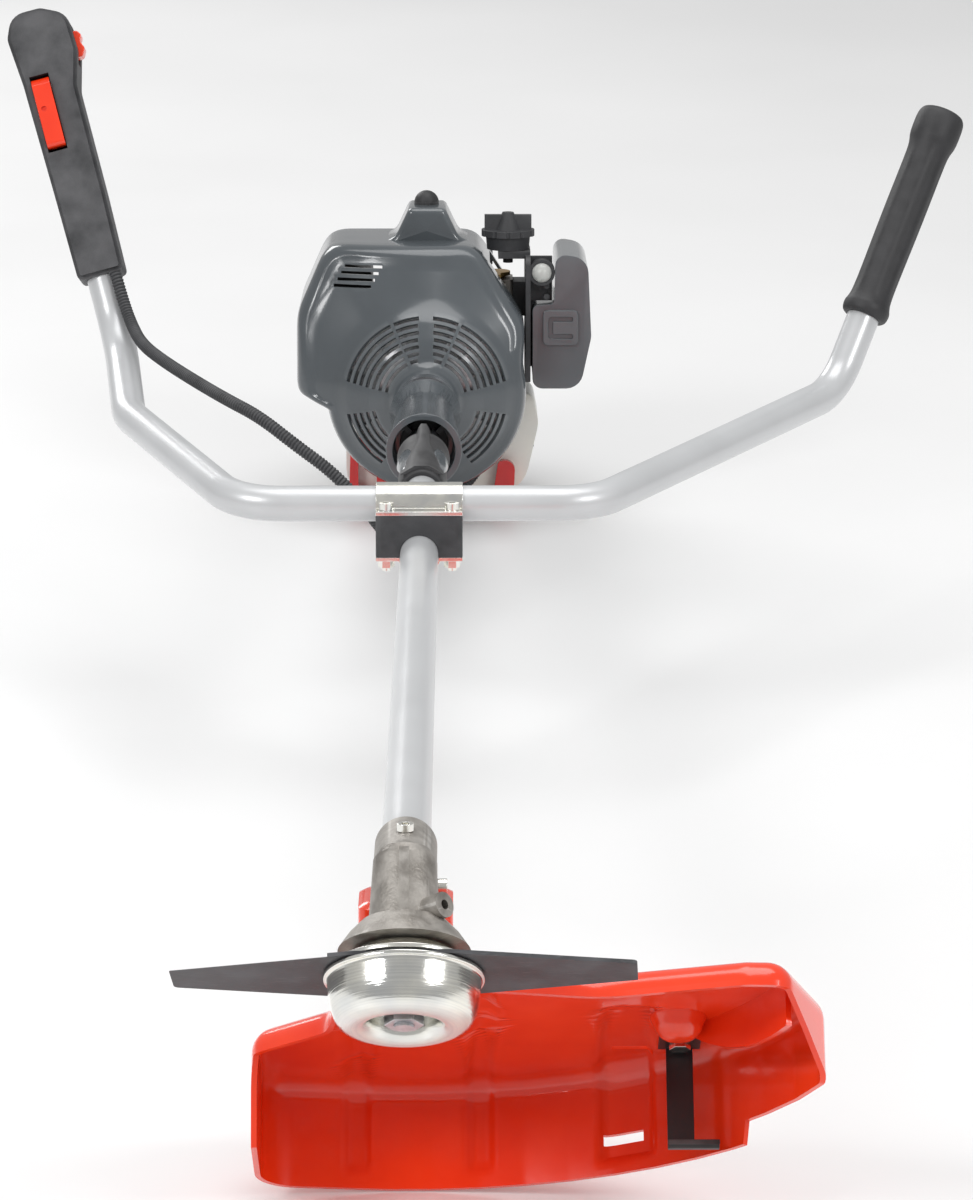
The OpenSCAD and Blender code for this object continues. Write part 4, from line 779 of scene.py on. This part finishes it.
# plain grip, turned, with flats and an end knob
gripSet = {"profile": [(12.1, 0.3), (14.6, 0.3), (16.6, 2), (17.4, 5), (17.4, 8.5), (16.4, 11), (15.2, 16),
                       (14.8, 30), (15.4, 80), (15.2, 132), (16, 139), (17.8, 145), (18, 158), (17.2, 164),
                       (14.6, 167.6), (0.02, 168), (0.02, 161.5), (12.1, 161.5)],
           "flats": 8, "flatDeep": 0.035, "from": 14, "to": 138, "run": 10, "spacing": 4}


def gripFacets(angle, height):
    # shallow flats between the flange and the knob
    low, high, run = gripSet["from"], gripSet["to"], gripSet["run"]
    if not low < height < high:
        return 1.0
    wave = 0.5 - 0.5 * math.cos(gripSet["flats"] * angle)
    return 1.0 - gripSet["flatDeep"] * wave * ease(height, low, low + run) * (1 - ease(height, high - run, high))


gripTurn = gripDir.to_track_quat("Z", "Y").to_matrix().to_4x4()
gripBends = softBends(gripSet["profile"])
fineProfile = []
for (r0, z0), (r1, z1) in zip(gripBends, gripBends[1:]):
    pieces = max(1, int(abs(z1 - z0) / gripSet["spacing"]))
    fineProfile += [(r0 + (r1 - r0) * k / pieces, z0 + (z1 - z0) * k / pieces) for k in range(pieces)]
grip = turned("plainGrip", fineProfile + [gripBends[-1]],
              tubeFrame @ Matrix.Translation(gripLow) @ gripTurn, shape=gripFacets)
settle(grip, "rubber", "frame", "plain_grip")

# rubber sleeve on the tube, with a ridge along its top and two grey leaves beside it; the leaves are painted shade,
# dark grey patches standing for the tube in shadow beside the ridge
sleeveSet = {"profile": [(12.75, 1010), (16, 1010), (17.5, 1014), (17.5, 1128), (19.5, 1138), (19.5, 1148),
                         (12.75, 1150)],
             "ridgeFrom": 1014, "ridgeStep": 7.7, "ridgeRings": 25, "ridge": 5.5, "ridgeHigh": 24, "ridgeFoot": 12.9,
             "leafAt": 1062, "leafOut": 13.2, "leafUp": 13.8, "leafTilt": 4, "leaf": (5.46, 38, 3.2),
             "leafRings": 12, "leafSides": 24}
sleeve = turned("tubeSleeve", softBends(sleeveSet["profile"]), alongTube, sides=72)
settle(sleeve, "rubber", "frame")
ridgeRings = []
for k in range(sleeveSet["ridgeRings"]):
    y, foot = sleeveSet["ridgeFrom"] + k * sleeveSet["ridgeStep"], sleeveSet["ridgeFoot"]
    wide = sleeveSet["ridge"] * (1.9 - 1.2 * ease(k, 0, 14))
    high = sleeveSet["ridgeHigh"] - 5 * (1 - ease(k, 0, 4)) - 7 * ease(k, 18, 24)
    half = [(wide * 1.5, foot), (wide, high - 3), (wide * 0.5, high)]
    ridgeRings.append([Vector((x, y, z)) for x, z in half] + [Vector((-x, y, z)) for x, z in reversed(half)])
ridge = loftedBar("sleeveRidge", ridgeRings, tubeFrame, 60)
settle(ridge, "rubber", "frame")
wide, long, high = sleeveSet["leaf"]
leafRings, leafSides = sleeveSet["leafRings"], sleeveSet["leafSides"]
leafFaces = [(i * leafSides + k, i * leafSides + (k + 1) % leafSides, (i + 1) * leafSides + (k + 1) % leafSides,
              (i + 1) * leafSides + k) for i in range(leafRings) for k in range(leafSides)]
# painted shade: each grey leaf is a dark patch standing for the shaded tube, not a part of its own
for leafSide in (-1, 1):
    leafVerts = []
    for i in range(leafRings + 1):
        for k in range(leafSides):
            a, b = math.pi * i / leafRings, 2 * math.pi * k / leafSides
            out, up = math.sin(a) * math.cos(b), math.sin(a) * math.sin(b)
            leafVerts.append(Vector((leafSide * sleeveSet["leafOut"] + wide * out,
                                     sleeveSet["leafAt"] + long * math.cos(a),
                                     sleeveSet["leafUp"] - sleeveSet["leafTilt"] * leafSide * out + high * up)))
    leaf = newPiece("shadedTubeLeaf%d" % (leafSide + 1), leafVerts, leafFaces, tubeFrame, 60)
    settle(leaf, "grey_plastic", "frame")
print("grip and sleeve made")

# floor
floorFinish = makeFinish("paleFloor", colour=(0.86, 0.86, 0.86), rough=0.42, mottle=0.012, mottleSize=0.6, grain=0.02,
                         grainSize=0.01)
floor = newPiece("floor", [(-14, -10, -0.0004), (14, -10, -0.0004), (14, 16, -0.0004), (-14, 16, -0.0004)],
                 [(0, 1, 2, 3)])
floor.data.materials.append(floorFinish)

low, high = cadBox
